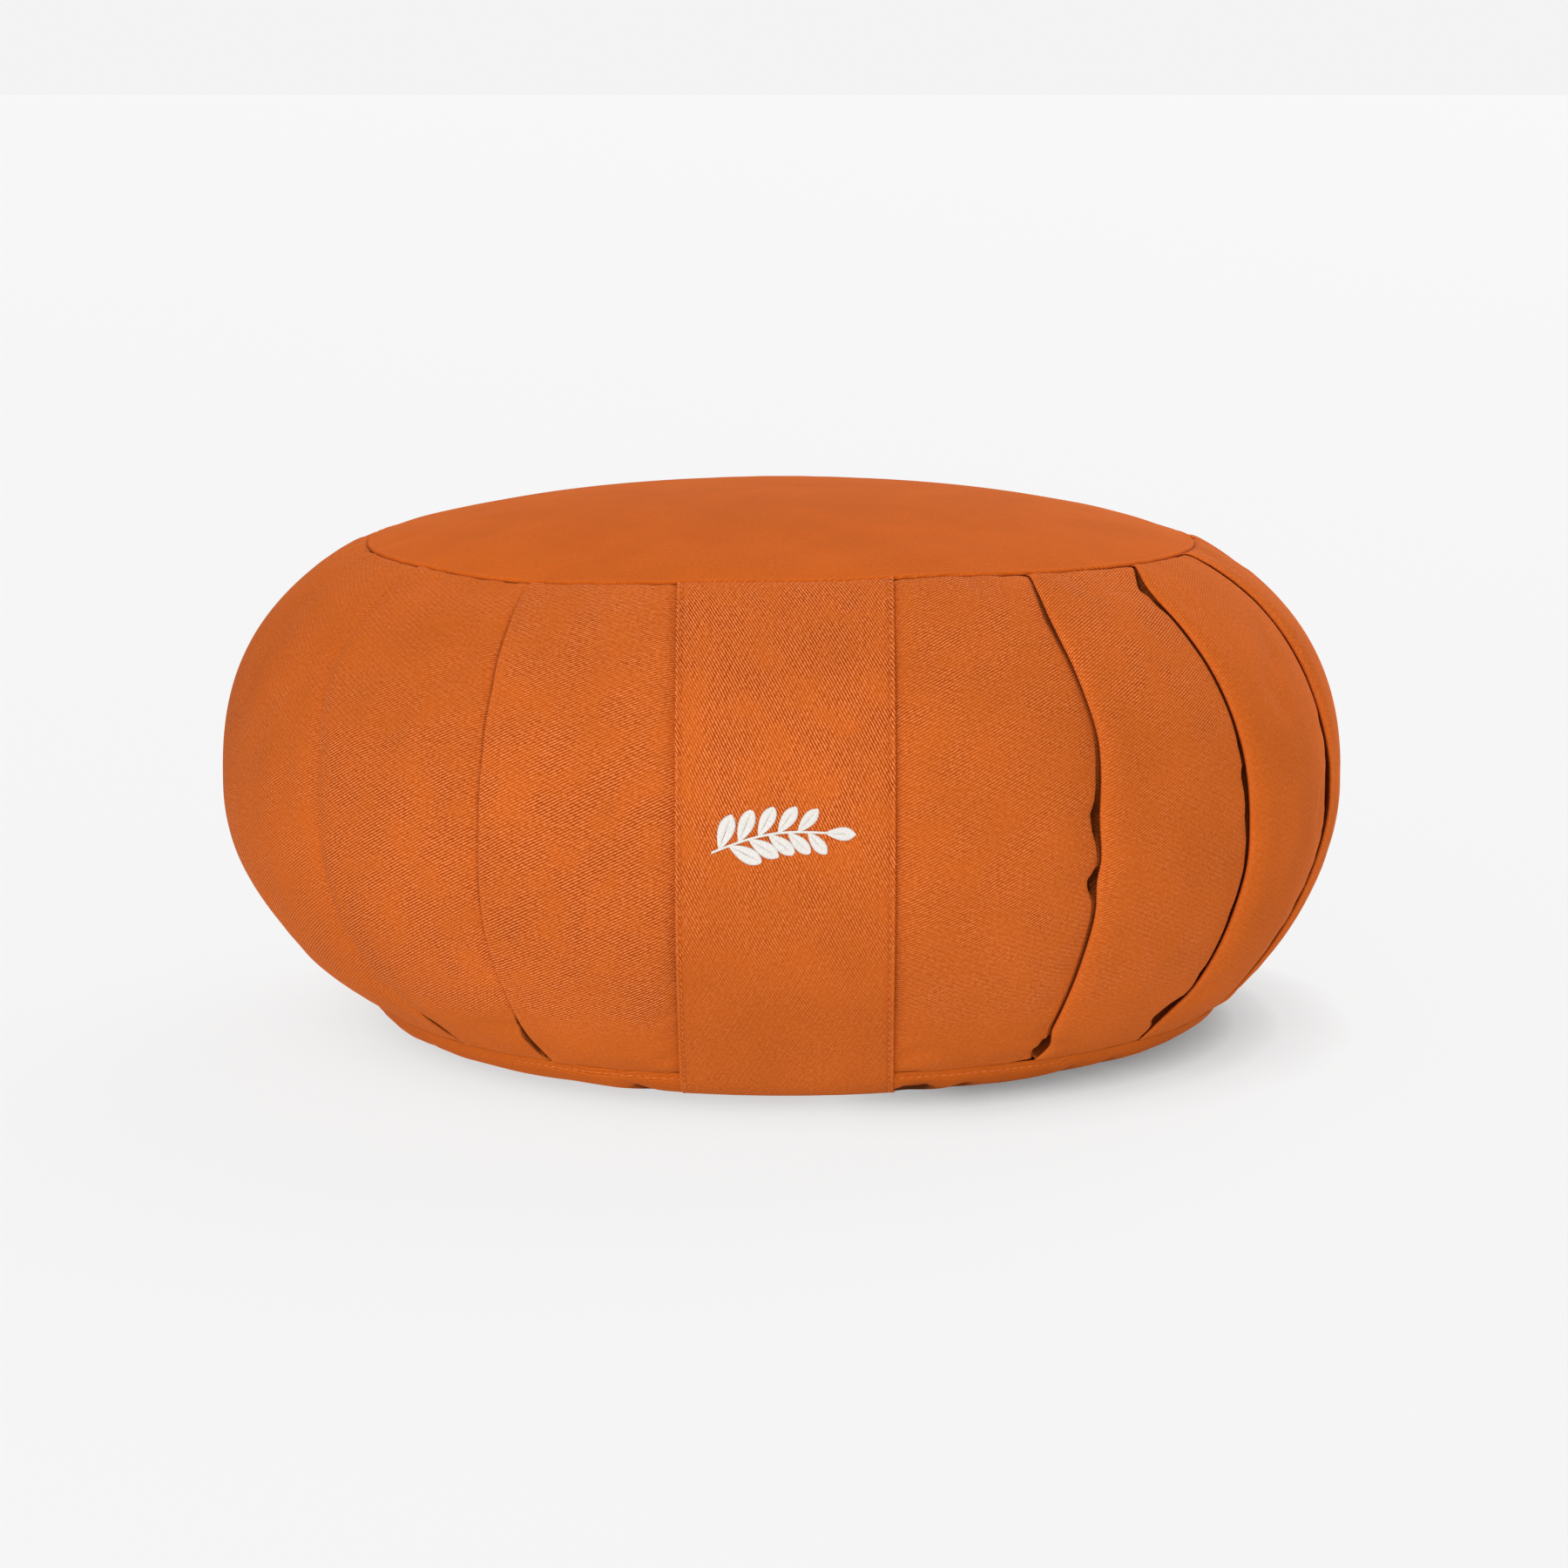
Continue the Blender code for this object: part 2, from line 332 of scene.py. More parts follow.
def share_of(z):
    """How far up or down from the girth: 0 there, 1 at the upper seam, -1 at the lower."""
    return (z - GIRTH_Z) / np.where(z > GIRTH_Z, TOP_SEAM_Z - GIRTH_Z, GIRTH_Z - BASE_SEAM_Z)


# %% [markdown]
# ## Unevenness
#
# Loose filling and hand sewing leave no seam quite level and no face quite even. In the
# photograph the upper seam climbs to the right of the front panel and dips beside the first
# left pleat. A short table holds that rise, and sums of seeded sine waves give the rest. The
# seed is fixed, so the cushion comes out the same in each run. The filling has also settled a
# little: the foot stands to the right, and the lower left side is drawn in.

# %% Unevenness
SEAM_RISE = (
    (-180, 0.2), (-140, -0.5), (-100, 0.4), (-69, -0.4), (-52, -0.6), (-45, -1.4), (-38, -1.6),
    (-33, -1.5), (-27, -0.8), (-20, -0.2), (-11, 0.8), (0, 1.0), (9, 1.2), (18, 2.0), (23, 2.0),
    (28, 1.6), (34, 1.1), (43, 0.7), (48, 0.9), (56, 0.2), (66, 0.3), (100, -0.4), (140, 0.5),
    (180, 0.2),
)
SEAM_REACH = 0.024  # how far from the seam its rise fades
# Painted light and shade, with some dye tone, as lighter and darker patches: degrees round from the front,
# height in mm, half width in degrees, half height in mm, amount
PAINTED_LIGHT_AND_TONE_PATCHES = (
    (0.0, 108.0, 15.0, 28.0, 0.08), (0.0, 32.0, 12.0, 22.0, -0.07), (-28.0, 36.0, 14.0, 14.0, 0.09),
    (-22.0, 85.0, 10.0, 25.0, 0.04), (-38.0, 60.0, 8.0, 30.0, 0.03), (-75.0, 105.0, 16.0, 30.0, -0.12),
    (-44.0, 118.0, 10.0, 18.0, -0.05), (34.0, 105.0, 6.0, 25.0, -0.04), (24.0, 60.0, 7.0, 35.0, 0.02),
    (64.0, 70.0, 9.0, 40.0, -0.03), (86.0, 70.0, 12.0, 45.0, 0.05),
)
LEAN = 3.0 * MM  # the foot stands this far to the right of the middle
LEAN_REACH = 0.060  # height at which the lean is gone
LEAN_FREE = 35.0  # degrees either side of the front, where the panel keeps it upright
PULL_IN = 4.6 * MM  # the lower left side is drawn in
PULL_AT = (-68.0, 0.011)  # degrees, height
PULL_REACH = (30.0, 0.010)
OUTER_FROM = 0.10  # radius inside which nothing is drawn in, and the front leans too
OUTER_OVER = 0.03  # and over how far that changes
SLOW_SWELL, TOP_PUCKER, BASE_PUCKER = 0.22 * MM, 0.07 * MM, 0.12 * MM
PUCKER_REACH = (0.006, 0.008)  # how far they reach from the upper and the lower seam


def polar(angle, radius, z):
    """Points at an angle round from the front towards +X."""
    return np.stack([radius * np.sin(angle), -radius * np.cos(angle), z + 0.0 * angle], -1)


def from_front(angle):
    """The same angle in degrees, between -180 and 180."""
    return (np.degrees(angle) + 180.0) % 360.0 - 180.0


def place(angle, radius, z):
    """The same points once the filling has settled to one side."""
    off = (from_front(angle) - PULL_AT[0]) / PULL_REACH[0]
    level = (z - PULL_AT[1]) / PULL_REACH[1]
    outer = np.clip((radius - OUTER_FROM) / OUTER_OVER, 0.0, 1.0)
    points = polar(angle, radius - PULL_IN * outer * np.exp(-(off**2) - level**2), z)
    low = np.clip(1.0 - (points[..., 2] / LEAN_REACH) ** 2, 0.0, 1.0) ** 2
    free = fade(from_front(angle), LEAN_FREE) * outer
    points[..., 0] += LEAN * low * (1.0 - free)
    return points


def seam_rise(angle):
    """How far the upper seam stands above its level, in metres."""
    where, rise = zip(*SEAM_RISE)
    spread = [np.interp(from_front(angle) + d, where, rise, period=360.0) for d in (-5, -3, -1, 1, 3, 5)]
    return sum(spread) / len(spread) * MM


def waves(angle, along, turns, reach, seed, count=14):
    """Seeded waves round the cushion and along it, about one high."""
    dice = np.random.default_rng(seed)
    total = 0.0
    for _ in range(count):
        round_it = dice.integers(turns[0], turns[1] + 1)
        along_it = dice.uniform(-1.0, 1.0) * 2 * math.pi / reach
        total = total + np.sin(round_it * angle + along_it * along + dice.uniform(0, 2 * math.pi))
    return total / math.sqrt(count)


def lie(angle, run):
    """The rise that the whole side shares at a place: slow swells, and puckers at its seams."""
    to_top = SIDE_LENGTH - run
    slow = SLOW_SWELL * waves(angle, run, (2, 9), 0.15, 11)
    tight = TOP_PUCKER * waves(angle, run, (45, 90), 0.05, 12) * fade(to_top, PUCKER_REACH[0], 1)
    loose = BASE_PUCKER * waves(angle, run, (36, 70), 0.05, 13) * fade(np.abs(run), PUCKER_REACH[1], 1)
    ends = np.clip(np.minimum(run, to_top) / 0.010, 0.0, 1.0)
    return slow * ends + tight + loose


def light_and_tone_patches(angle, z):
    """How much lighter or darker the cloth is painted at a place on the side: partly light and shade, partly
    tone.
    """
    total = 0.0
    for at, height, wide, high, amount in PAINTED_LIGHT_AND_TONE_PATCHES:
        off = ((from_front(angle) - at) / wide) ** 2 + ((z / MM - height) / high) ** 2
        total = total + amount * np.exp(-off)
    return total


def lift(angle, run):
    """How far a place on the side moves up with the upper seam."""
    return seam_rise(angle) * fade(SIDE_LENGTH - run, SEAM_REACH)


print("upper seam rises %.1f to %.1f mm" % (min(r for _, r in SEAM_RISE), max(r for _, r in SEAM_RISE)))

# %% [markdown]
# ## Where the pleats fold
#
# Each pleat's folded edge lies over its left neighbour. The five folds that the photograph shows
# are tables of height, angle and how far the neighbour falls away beneath the edge. That hollow,
# with painted shade in it, makes the dark slits. The ten at the back follow the same habit: they
# lean a little one way or the other, and each has a few slits of its own.

# %% Where the pleats fold
# Folds: height in mm, degrees round from the front, opening in mm
RIGHT_1 = (
    (10.8, 31.5, 0.0), (11.4, 31.8, 1.5), (12.8, 32.4, 3.6), (14.6, 32.8, 5.6), (15.8, 32.8, 5.4),
    (16.6, 32.5, 1.2), (17.6, 32.2, 0.5), (20.0, 31.7, 0.4), (31.0, 31.6, 0.3), (43.0, 31.6, 0.4),
    (56.0, 31.8, 0.6), (61.0, 31.7, 0.7), (63.5, 31.5, 1.4), (66.5, 31.4, 2.9), (69.0, 31.4, 2.5),
    (70.5, 31.6, 0.6), (73.0, 31.8, 0.4), (76.0, 31.8, 0.8), (79.5, 31.7, 1.2), (83.0, 31.6, 2.3),
    (87.0, 31.6, 2.6), (89.5, 31.7, 1.5), (94.0, 31.9, 1.1), (105.0, 32.3, 0.7), (110.0, 32.3, 0.3),
    (120.0, 32.0, 0.3), (130.0, 31.8, 0.4), (134.0, 31.7, 0.6), (139.0, 31.8, 0.9), (142.0, 32.1, 0.7),
    (145.0, 32.5, 0.3), (148.2, 33.4, 0.0),
)
RIGHT_2 = (
    (10.8, 48.9, 0.0), (13.2, 50.0, 1.2), (15.5, 50.6, 2.0), (17.0, 51.1, 4.4), (19.0, 51.6, 7.0),
    (22.0, 52.6, 6.4), (24.5, 53.0, 1.8), (26.0, 53.2, 0.8), (34.0, 53.2, 0.6), (51.0, 53.0, 0.6),
    (64.0, 53.1, 0.6), (70.0, 53.0, 0.7), (76.0, 52.9, 0.9), (80.0, 52.9, 1.3), (85.0, 52.8, 1.7),
    (90.0, 52.7, 2.0), (92.5, 52.6, 1.9), (94.5, 52.6, 0.8), (97.0, 52.5, 1.4), (100.0, 52.4, 1.5),
    (102.0, 52.3, 0.9), (104.0, 52.2, 0.6), (107.0, 52.1, 0.4), (124.0, 51.4, 0.3), (136.0, 50.7, 0.4),
    (140.0, 50.3, 0.8), (143.5, 50.6, 1.9), (146.0, 51.8, 1.4), (148.2, 53.8, 0.0),
)
RIGHT_3 = (
    (10.8, 69.0, 0.0), (15.0, 71.0, 1.2), (19.0, 71.8, 1.6), (27.0, 72.6, 2.0), (36.0, 73.6, 2.0),
    (43.0, 74.4, 2.0), (52.0, 75.4, 1.9), (62.0, 76.2, 1.9), (72.0, 76.6, 2.2), (84.0, 76.4, 2.3),
    (92.0, 75.8, 1.6), (99.0, 75.2, 1.0), (107.0, 74.6, 0.7), (118.0, 74.2, 0.7), (128.0, 74.2, 0.6),
    (135.0, 73.8, 0.8), (140.5, 72.8, 0.8), (144.5, 71.7, 0.7), (148.2, 70.8, 0.0),
)
LEFT_1 = (
    (10.8, -29.5, 0.0), (12.0, -29.7, 4.0), (14.5, -30.1, 5.6), (18.0, -30.6, 4.6), (22.0, -30.7, 2.4),
    (26.0, -30.5, 0.5), (35.0, -30.1, 0.2), (51.0, -29.8, 0.2), (67.0, -29.5, 0.3), (84.0, -29.4, 0.4),
    (103.0, -29.5, 0.5), (121.0, -30.1, 0.6), (136.0, -31.5, 0.5), (142.0, -32.5, 0.3),
    (148.2, -33.8, 0.0),
)
LEFT_2 = (
    (10.8, -44.9, 0.0), (12.0, -45.2, 2.6), (14.0, -45.7, 4.8), (17.5, -46.5, 5.4), (20.5, -47.6, 3.6),
    (23.5, -48.5, 0.5), (27.5, -49.4, 0.2), (34.0, -50.0, 0.2), (49.0, -50.1, 0.2), (64.0, -50.4, 0.2),
    (82.0, -50.8, 0.3), (101.0, -51.6, 0.4), (122.0, -54.0, 0.4), (140.0, -54.4, 0.3),
    (148.2, -55.4, 0.0),
)
BACK_FOLDS = 10
SWAY, BEND = 1.1, 0.5  # degrees by which a fold at the back leans and bends, at most
ANGLE_BLUR, OPENING_BLUR = 2.2 * MM, 0.9 * MM  # how far a table's values are softened
SLITS = ((17.0, 4.0, 3.4), (68.0, 5.0, 1.4), (90.0, 6.0, 1.7), (141.0, 4.0, 2.0))  # height, reach, depth


def even_rows():
    """Runs along the side: close together at the seams and wider between them."""
    close = np.arange(0.0, 6.01, 0.5) * MM
    count = round((SIDE_LENGTH - 2 * close[-1]) / (1.9 * MM))
    between = np.linspace(close[-1], SIDE_LENGTH - close[-1], count + 1)[1:-1]
    return np.concatenate([close, between, SIDE_LENGTH - close[::-1]])


row_run = even_rows()
row_r, row_z, row_out_r, row_out_z = on_curve(row_run)
row_share = share_of(row_z)
print(len(row_run), "rows")


def spread_over(values, at, reach):
    """Values at uneven places, softened over a reach with a bell-shaped weight."""
    weight = fade(at[:, None] - at[None, :], reach)
    gaps = np.gradient(at)
    weight = weight * gaps[None, :]
    return (weight * values[None, :]).sum(1) / weight.sum(1)


def measured_fold(table):
    """A fold's angle in radians and its opening in metres, for each row."""
    height, angle, opening = np.array(table).T
    turned = spread_over(np.interp(row_z / MM, height, angle), row_run, ANGLE_BLUR)
    opened = spread_over(np.interp(row_z / MM, height, opening), row_run, OPENING_BLUR)
    return np.radians(turned), opened * MM


def back_fold(number, start, end):
    """A fold that the photograph doesn't show, in the habit of those that it does."""
    dice = np.random.default_rng(100 + number)
    middle = start + (end - start) * number / (BACK_FOLDS + 1)
    lean = SWAY * math.sin(2.4 * number)
    bend = dice.uniform(-BEND, BEND) * np.sin(row_run / SIDE_LENGTH * 2 * math.pi * dice.uniform(0.8, 1.6))
    angle = middle + row_share * lean + bend * (1.0 - row_share**2)
    opening = 0.30 * (1.0 - row_share**8)
    for height, reach, depth in SLITS:
        height = height + dice.uniform(-4.0, 4.0) * (1.0 if 30 < height < 130 else 0.3)
        opening = opening + depth * dice.uniform(0.3, 1.0) * fade(row_z / MM - height, reach, 4)
    return np.radians(angle), opening * MM * (1.0 - row_share**20)


folds = [measured_fold(table) for table in (RIGHT_1, RIGHT_2, RIGHT_3)]
left_folds = [measured_fold(table) for table in (LEFT_2, LEFT_1)]
last_right = math.degrees(float(np.median(folds[-1][0])))
first_left = math.degrees(float(np.median(left_folds[0][0]))) + 360.0
folds += [back_fold(n, last_right, first_left) for n in range(1, BACK_FOLDS + 1)]
folds += [(angle + 2 * math.pi, opening) for angle, opening in left_folds]
print(len(folds), "folds at", [round(math.degrees(float(a[len(a) // 2]))) for a, _ in folds])

# %% [markdown]
# ## How a pleat rises between its folds
#
# From its folded edge each pleat swells and then sinks until it slips under the next one. A few
# points give that section, and blurring the straight lines between them makes the curve soft.
# The two pleats beside the front panel sink under its edges instead.

# %% How a pleat rises between its folds
PANEL_X = 0.0012
PANEL_WIDE = 0.0600
# Sections: share of the pleat's width, rise in mm
PLEAT = ((0.0, 0.5), (0.07, 0.8), (0.28, 1.1), (0.55, 0.6), (0.80, -0.4), (1.0, -1.9))
FLAT_PLEAT = ((0.0, 0.3), (0.07, 0.5), (0.30, 0.8), (0.60, 0.6), (0.85, 0.1), (1.0, -0.6))
AFTER_PANEL = ((0.0, -0.9), (0.08, -0.1), (0.28, 0.5), (0.55, 0.5), (0.80, -0.4), (1.0, -1.9))
BEFORE_PANEL = ((0.0, 0.3), (0.07, 0.6), (0.28, 1.0), (0.58, 0.9), (0.86, 0.2), (1.0, -0.9))
AT_SEAM = 0.25  # share of the relief that is left where the pleats are sewn down


def soft_curve(points):
    """A smooth curve through a few points, ready to be read at any place."""
    x, y = np.array(points, float).T
    fine = np.linspace(-0.2, 1.2, 281)
    first = y[0] + (y[1] - y[0]) / (x[1] - x[0]) * (fine - x[0])
    last = y[-1] + (y[-1] - y[-2]) / (x[-1] - x[-2]) * (fine - x[-1])
    line = np.where(fine < x[0], first, np.where(fine > x[-1], last, np.interp(fine, x, y)))
    bell = np.hanning(31)
    blurred = np.convolve(line, bell / bell.sum(), "same")
    return lambda at: np.interp(at, fine, blurred) * MM


def relief_at(share):
    """The share of its relief that a pleat has, from the seams to the girth."""
    return AT_SEAM + (1.0 - AT_SEAM) * (1.0 - share**4)


pleat_shape = soft_curve(PLEAT)
flat_pleat = soft_curve(FLAT_PLEAT)
after_panel = soft_curve(AFTER_PANEL)
before_panel = soft_curve(BEFORE_PANEL)
relief = relief_at(row_share)


def panel_edge(radius, side):
    """The angle at which the front panel's straight edge crosses the side."""
    return np.arcsin((PANEL_X + side * PANEL_WIDE / 2) / radius)


edges = [panel_edge(row_r, 1)] + [angle for angle, _ in folds] + [panel_edge(row_r, -1) + 2 * math.pi]
# The two pleats left of the panel lie flat on their neighbours, which hardly sink beneath them.
shapes = [after_panel] + [pleat_shape] * (len(folds) - 3) + [flat_pleat] * 2 + [before_panel]
widths = [float(np.mean((b - a) * row_r)) for a, b in zip(edges, edges[1:])]
print("pleats show %.0f to %.0f mm of cloth" % (min(widths) / MM, max(widths) / MM))

# %% [markdown]
# ## Letting the cloth swell
#
# Between its seams and folds the twill is pushed out by the husks and stays a little loose.
# Blender's Cloth shows how: a coarse skin for each pleat is pinned along its borders, given a
# little spare cloth and some pressure from inside, and run for twenty frames. How far its
# points moved is kept as a table, and the fine cloth reads its extra rise from that. The coarse
# skins are thrown away, so no simulation is left in the file.

# %% Letting the cloth swell
SWELL_FRAMES = 20
SWELL_CAP = 1.5 * MM  # no point may move further than this
CLOTH_SETTINGS = {
    "vertex_group_mass": "sewn",
    "quality": 6,
    "tension_stiffness": 18,
    "compression_stiffness": 18,
    "shear_stiffness": 6,
    "bending_stiffness": 0.8,
    "use_pressure": True,
    "uniform_pressure_force": 2.0,
    "shrink_min": -0.016,  # a negative shrink is spare cloth
}
ACROSS, UP = 17, 45  # points of a coarse skin


def swell(name, points, out):
    """Runs pinned coarse skins (skin, up, across) as cloth; gives the rise of each point."""
    skins, high, wide = points.shape[:3]
    index = np.arange(skins * high * wide).reshape(skins, high, wide)
    quads = np.stack([index[:, :-1, :-1], index[:, :-1, 1:], index[:, 1:, 1:], index[:, 1:, :-1]], -1)
    mesh = bpy.data.meshes.new(name)
    mesh.from_pydata(points.reshape(-1, 3).tolist(), [], quads.reshape(-1, 4).tolist())
    skin = put_in_scene(name, mesh)

    border = np.zeros((high, wide), bool)
    border[0] = border[-1] = True
    border[:, 0] = border[:, -1] = True
    group = skin.vertex_groups.new(name="sewn")
    group.add(index[:, border].ravel().tolist(), 1.0, "REPLACE")

    cloth = skin.modifiers.new("cloth", "CLOTH")
    for label, value in CLOTH_SETTINGS.items():
        setattr(cloth.settings, label, value)
    cloth.settings.effector_weights.gravity = 0.0
    cloth.collision_settings.use_collision = False
    cloth.point_cache.frame_start = 1
    cloth.point_cache.frame_end = SWELL_FRAMES
    for number in range(1, SWELL_FRAMES + 1):
        bpy.context.scene.frame_set(number)

    moved = skin.evaluated_get(bpy.context.evaluated_depsgraph_get()).data
    after = np.zeros(len(mesh.vertices) * 3, np.float32)
    moved.vertices.foreach_get("co", after)
    bpy.context.scene.frame_set(1)
    bpy.data.objects.remove(skin)
    bpy.data.meshes.remove(mesh)
    rise = ((after.reshape(points.shape) - points) * out).sum(-1)
    return SWELL_CAP * np.tanh(rise / SWELL_CAP)


def read_table(table, across, up):
    """Reads a table smoothly at places from 0 to 1 each way (Catmull-Rom)."""
    def weights(t):
        return (
            -0.5 * t + t**2 - 0.5 * t**3,
            1.0 - 2.5 * t**2 + 1.5 * t**3,
            0.5 * t + 2.0 * t**2 - 1.5 * t**3,
            -0.5 * t**2 + 0.5 * t**3,
        )

    high, wide = table.shape
    x = np.clip(across, 0.0, 1.0) * (wide - 1)
    y = np.clip(up, 0.0, 1.0) * (high - 1)
    i = np.minimum(x.astype(int), wide - 2)
    j = np.minimum(y.astype(int), high - 2)
    total = 0.0
    for b, row_weight in enumerate(weights(y - j)):
        for a, weight in enumerate(weights(x - i)):
            row = np.clip(j + b - 1, 0, high - 1)
            total = total + row_weight * weight * table[row, np.clip(i + a - 1, 0, wide - 1)]
    return total


def coarse_skins():
    """The coarse skin of each pleat and the way out at each of its points."""
    run = np.linspace(0.0, SIDE_LENGTH, UP)
    r, z, out_r, out_z = on_curve(run)
    left_of_it = relief_at(share_of(z))[:, None]
    points, ways = [], []
    for left, right, shape in zip(edges, edges[1:], shapes):
        left, right = np.interp(run, row_run, left), np.interp(run, row_run, right)
        part = np.linspace(0.0, 1.0, ACROSS)
        angle = left[:, None] + (right - left)[:, None] * part
        rise = shape(part)[None, :] * left_of_it
        radius = r[:, None] + rise * out_r[:, None]
        points.append(polar(angle, radius, z[:, None] + rise * out_z[:, None]))
        ways.append(polar(angle, out_r[:, None], out_z[:, None]))
    return np.array(points), np.array(ways)


swell_of = swell("pleat_skins", *coarse_skins())
print("the pleats swell by up to %.2f mm, %.2f mm on average" % (swell_of.max() / MM, swell_of.mean() / MM))

# %% [markdown]
# ## Cotton twill
#
# The cover is dyed cotton twill: its warp yarns float over two or three weft yarns at a time
# and make slanting ridges. Up close each ridge is a row of short bright floats with dark gaps
# between. Where the nap is pressed flat the ridges fade. Loose fibre ends give a thin bright
# line where the cloth turns away, which is what sheen is for. The weave follows each piece's
# own cloth map, which is in metres, so that its ridges have the same width on every piece. The
# front panel is cut with the cloth turned, so its ridges stand steeper there. Each piece also
# carries two numbers for every point. The first paints light and shade into the colour, with
# some tone: over zero it is a painted highlight, as on a folded edge, and under zero it is
# painted shade, as deep in a tuck or a hollow. Its nap is about one where the ridges stand as
# woven, and less where they have been rubbed flat or are painted faint where the light falls flat.

# %% Cotton twill
RIDGE = 0.76 * MM  # from one ridge to the next
FLOAT_LENGTH = 1.8 * MM
TWILL_ANGLE = math.radians(26)
CLOTH_MAP = "cloth"
# the number on each point that paints light and shade, with some tone, into the twill's colour
PAINTED_LIGHT_AND_TONE_NAME = "painted_light_and_tone"
NAP_NAME = "nap"
SHEEN = {"Sheen Weight": 0.30, "Sheen Roughness": 0.13, "Sheen Tint": linear("FF9048")}
BUMP_STRENGTH = 0.75


def dyed_twill(name, ridge, middle, valley, depth):
    """Twill of one dye lot: its colours from ridge to valley, and how far its ridges stand."""
    made, tree, shader = new_material(name)
    spot = add(tree, "ShaderNodeUVMap", uv_map=CLOTH_MAP).outputs["UV"]
    turned = add(tree, "ShaderNodeMapping", {"Vector": spot, "Rotation": (0.0, 0.0, -TWILL_ANGLE)})
    parts = add(tree, "ShaderNodeSeparateXYZ", {0: turned.outputs[0]}).outputs

    # Ridges run along X of the turned map; a slow and a quick noise let them wander.
    drift = noise(tree, spot, 40.0, 1.0)
    across = calc(tree, "MULTIPLY_ADD", drift, 0.5 * MM, parts["Y"])
    shake = noise(tree, spot, 330.0, 1.0)
    shaken = calc(tree, "MULTIPLY_ADD", shake, 0.22 * MM, across)
    phase = calc(tree, "MULTIPLY", shaken, 2 * math.pi / RIDGE)
    ridge_height = ranged(tree, calc(tree, "SINE", phase), -1.0, 0.9)

    # Floats: short lengths of yarn along each ridge, each ridge out of step with the next.
    along = calc(tree, "MULTIPLY", parts["X"], 2 * math.pi / FLOAT_LENGTH)
    stepped = calc(tree, "MULTIPLY_ADD", phase, 0.37, along)
    beaded = ranged(tree, calc(tree, "SINE", stepped), -1.0, 0.4, 0.68, 1.04)
    yarn = calc(tree, "MULTIPLY_ADD", ridge_height, beaded, -0.5)

    # Uneven yarn: thick and thin places, and fuzz finer than the weave.
    fuzz = noise(tree, spot, 900.0, 3.0, 0.65)
    rough_yarn = ranged(tree, fuzz, 0.25, 0.75, -0.24, 0.24)
    uneven = calc(tree, "ADD", yarn, rough_yarn)

    # The nap lies flat in patches some 10 mm wide, and wherever the piece's own number says so.
    # There the ridges show less.
    raised_nap = ranged(tree, noise(tree, spot, 95.0, 3.0), 0.36, 0.64, 0.35, 1.0)
    unrubbed = add(tree, "ShaderNodeAttribute", attribute_name=NAP_NAME).outputs["Fac"]
    kept_nap = calc(tree, "MULTIPLY", raised_nap, unrubbed)
    level = calc(tree, "MULTIPLY_ADD", uneven, kept_nap, 0.5)
    height = calc(tree, "MULTIPLY_ADD", rough_yarn, 0.35, level)

    # Dye takes unevenly: faint clouds some 30 mm wide. Then comes the painted light and shade, with some
    # tone.
    tone = ranged(tree, noise(tree, spot, 34.0, 4.0, 0.6), 0.3, 0.7, 0.94, 1.06)
    painted_light_and_tone = add(tree, "ShaderNodeAttribute", attribute_name=PAINTED_LIGHT_AND_TONE_NAME).outputs["Fac"]
    tone_and_painted_light = calc(tree, "MULTIPLY", tone, calc(tree, "ADD", painted_light_and_tone, 1.0))
    colour = add(tree, "ShaderNodeValToRGB", {0: height})
    colour.color_ramp.elements[0].color = linear(valley)
    colour.color_ramp.elements[1].color = linear(ridge)
    colour.color_ramp.elements.new(0.5).color = linear(middle)
    dyed = add(tree, "ShaderNodeVectorMath", {0: colour.outputs[0], 1: tone_and_painted_light}, operation="MULTIPLY")
    raised = add(tree, "ShaderNodeBump", {"Height": height, "Strength": BUMP_STRENGTH, "Distance": depth})
    fill(tree, shader, {"Base Color": dyed.outputs[0], "Normal": raised.outputs[0], **MATT, **SHEEN})
    return made


side_twill = dyed_twill("orange_cotton_twill", "F48C52", "C8601F", "A03A02", 0.22 * MM)
# The discs' cloth is the same, seen flat on or worn smooth: its ridges hardly stand.
disc_twill = dyed_twill("orange_cotton_twill_disc", "D66926", "C75D1B", "B65413", 0.04 * MM)
print("materials:", side_twill.name, disc_twill.name)

# %% [markdown]
# ## Turning rings of points into cloth
#
# Each soft piece is a closed skin through rings of points, from a pole below to a pole above.
# Making it from a grid keeps control of where the points lie: they can crowd at a fold or a
# seam, where the cloth turns sharply, and stay wide apart where it is smooth.

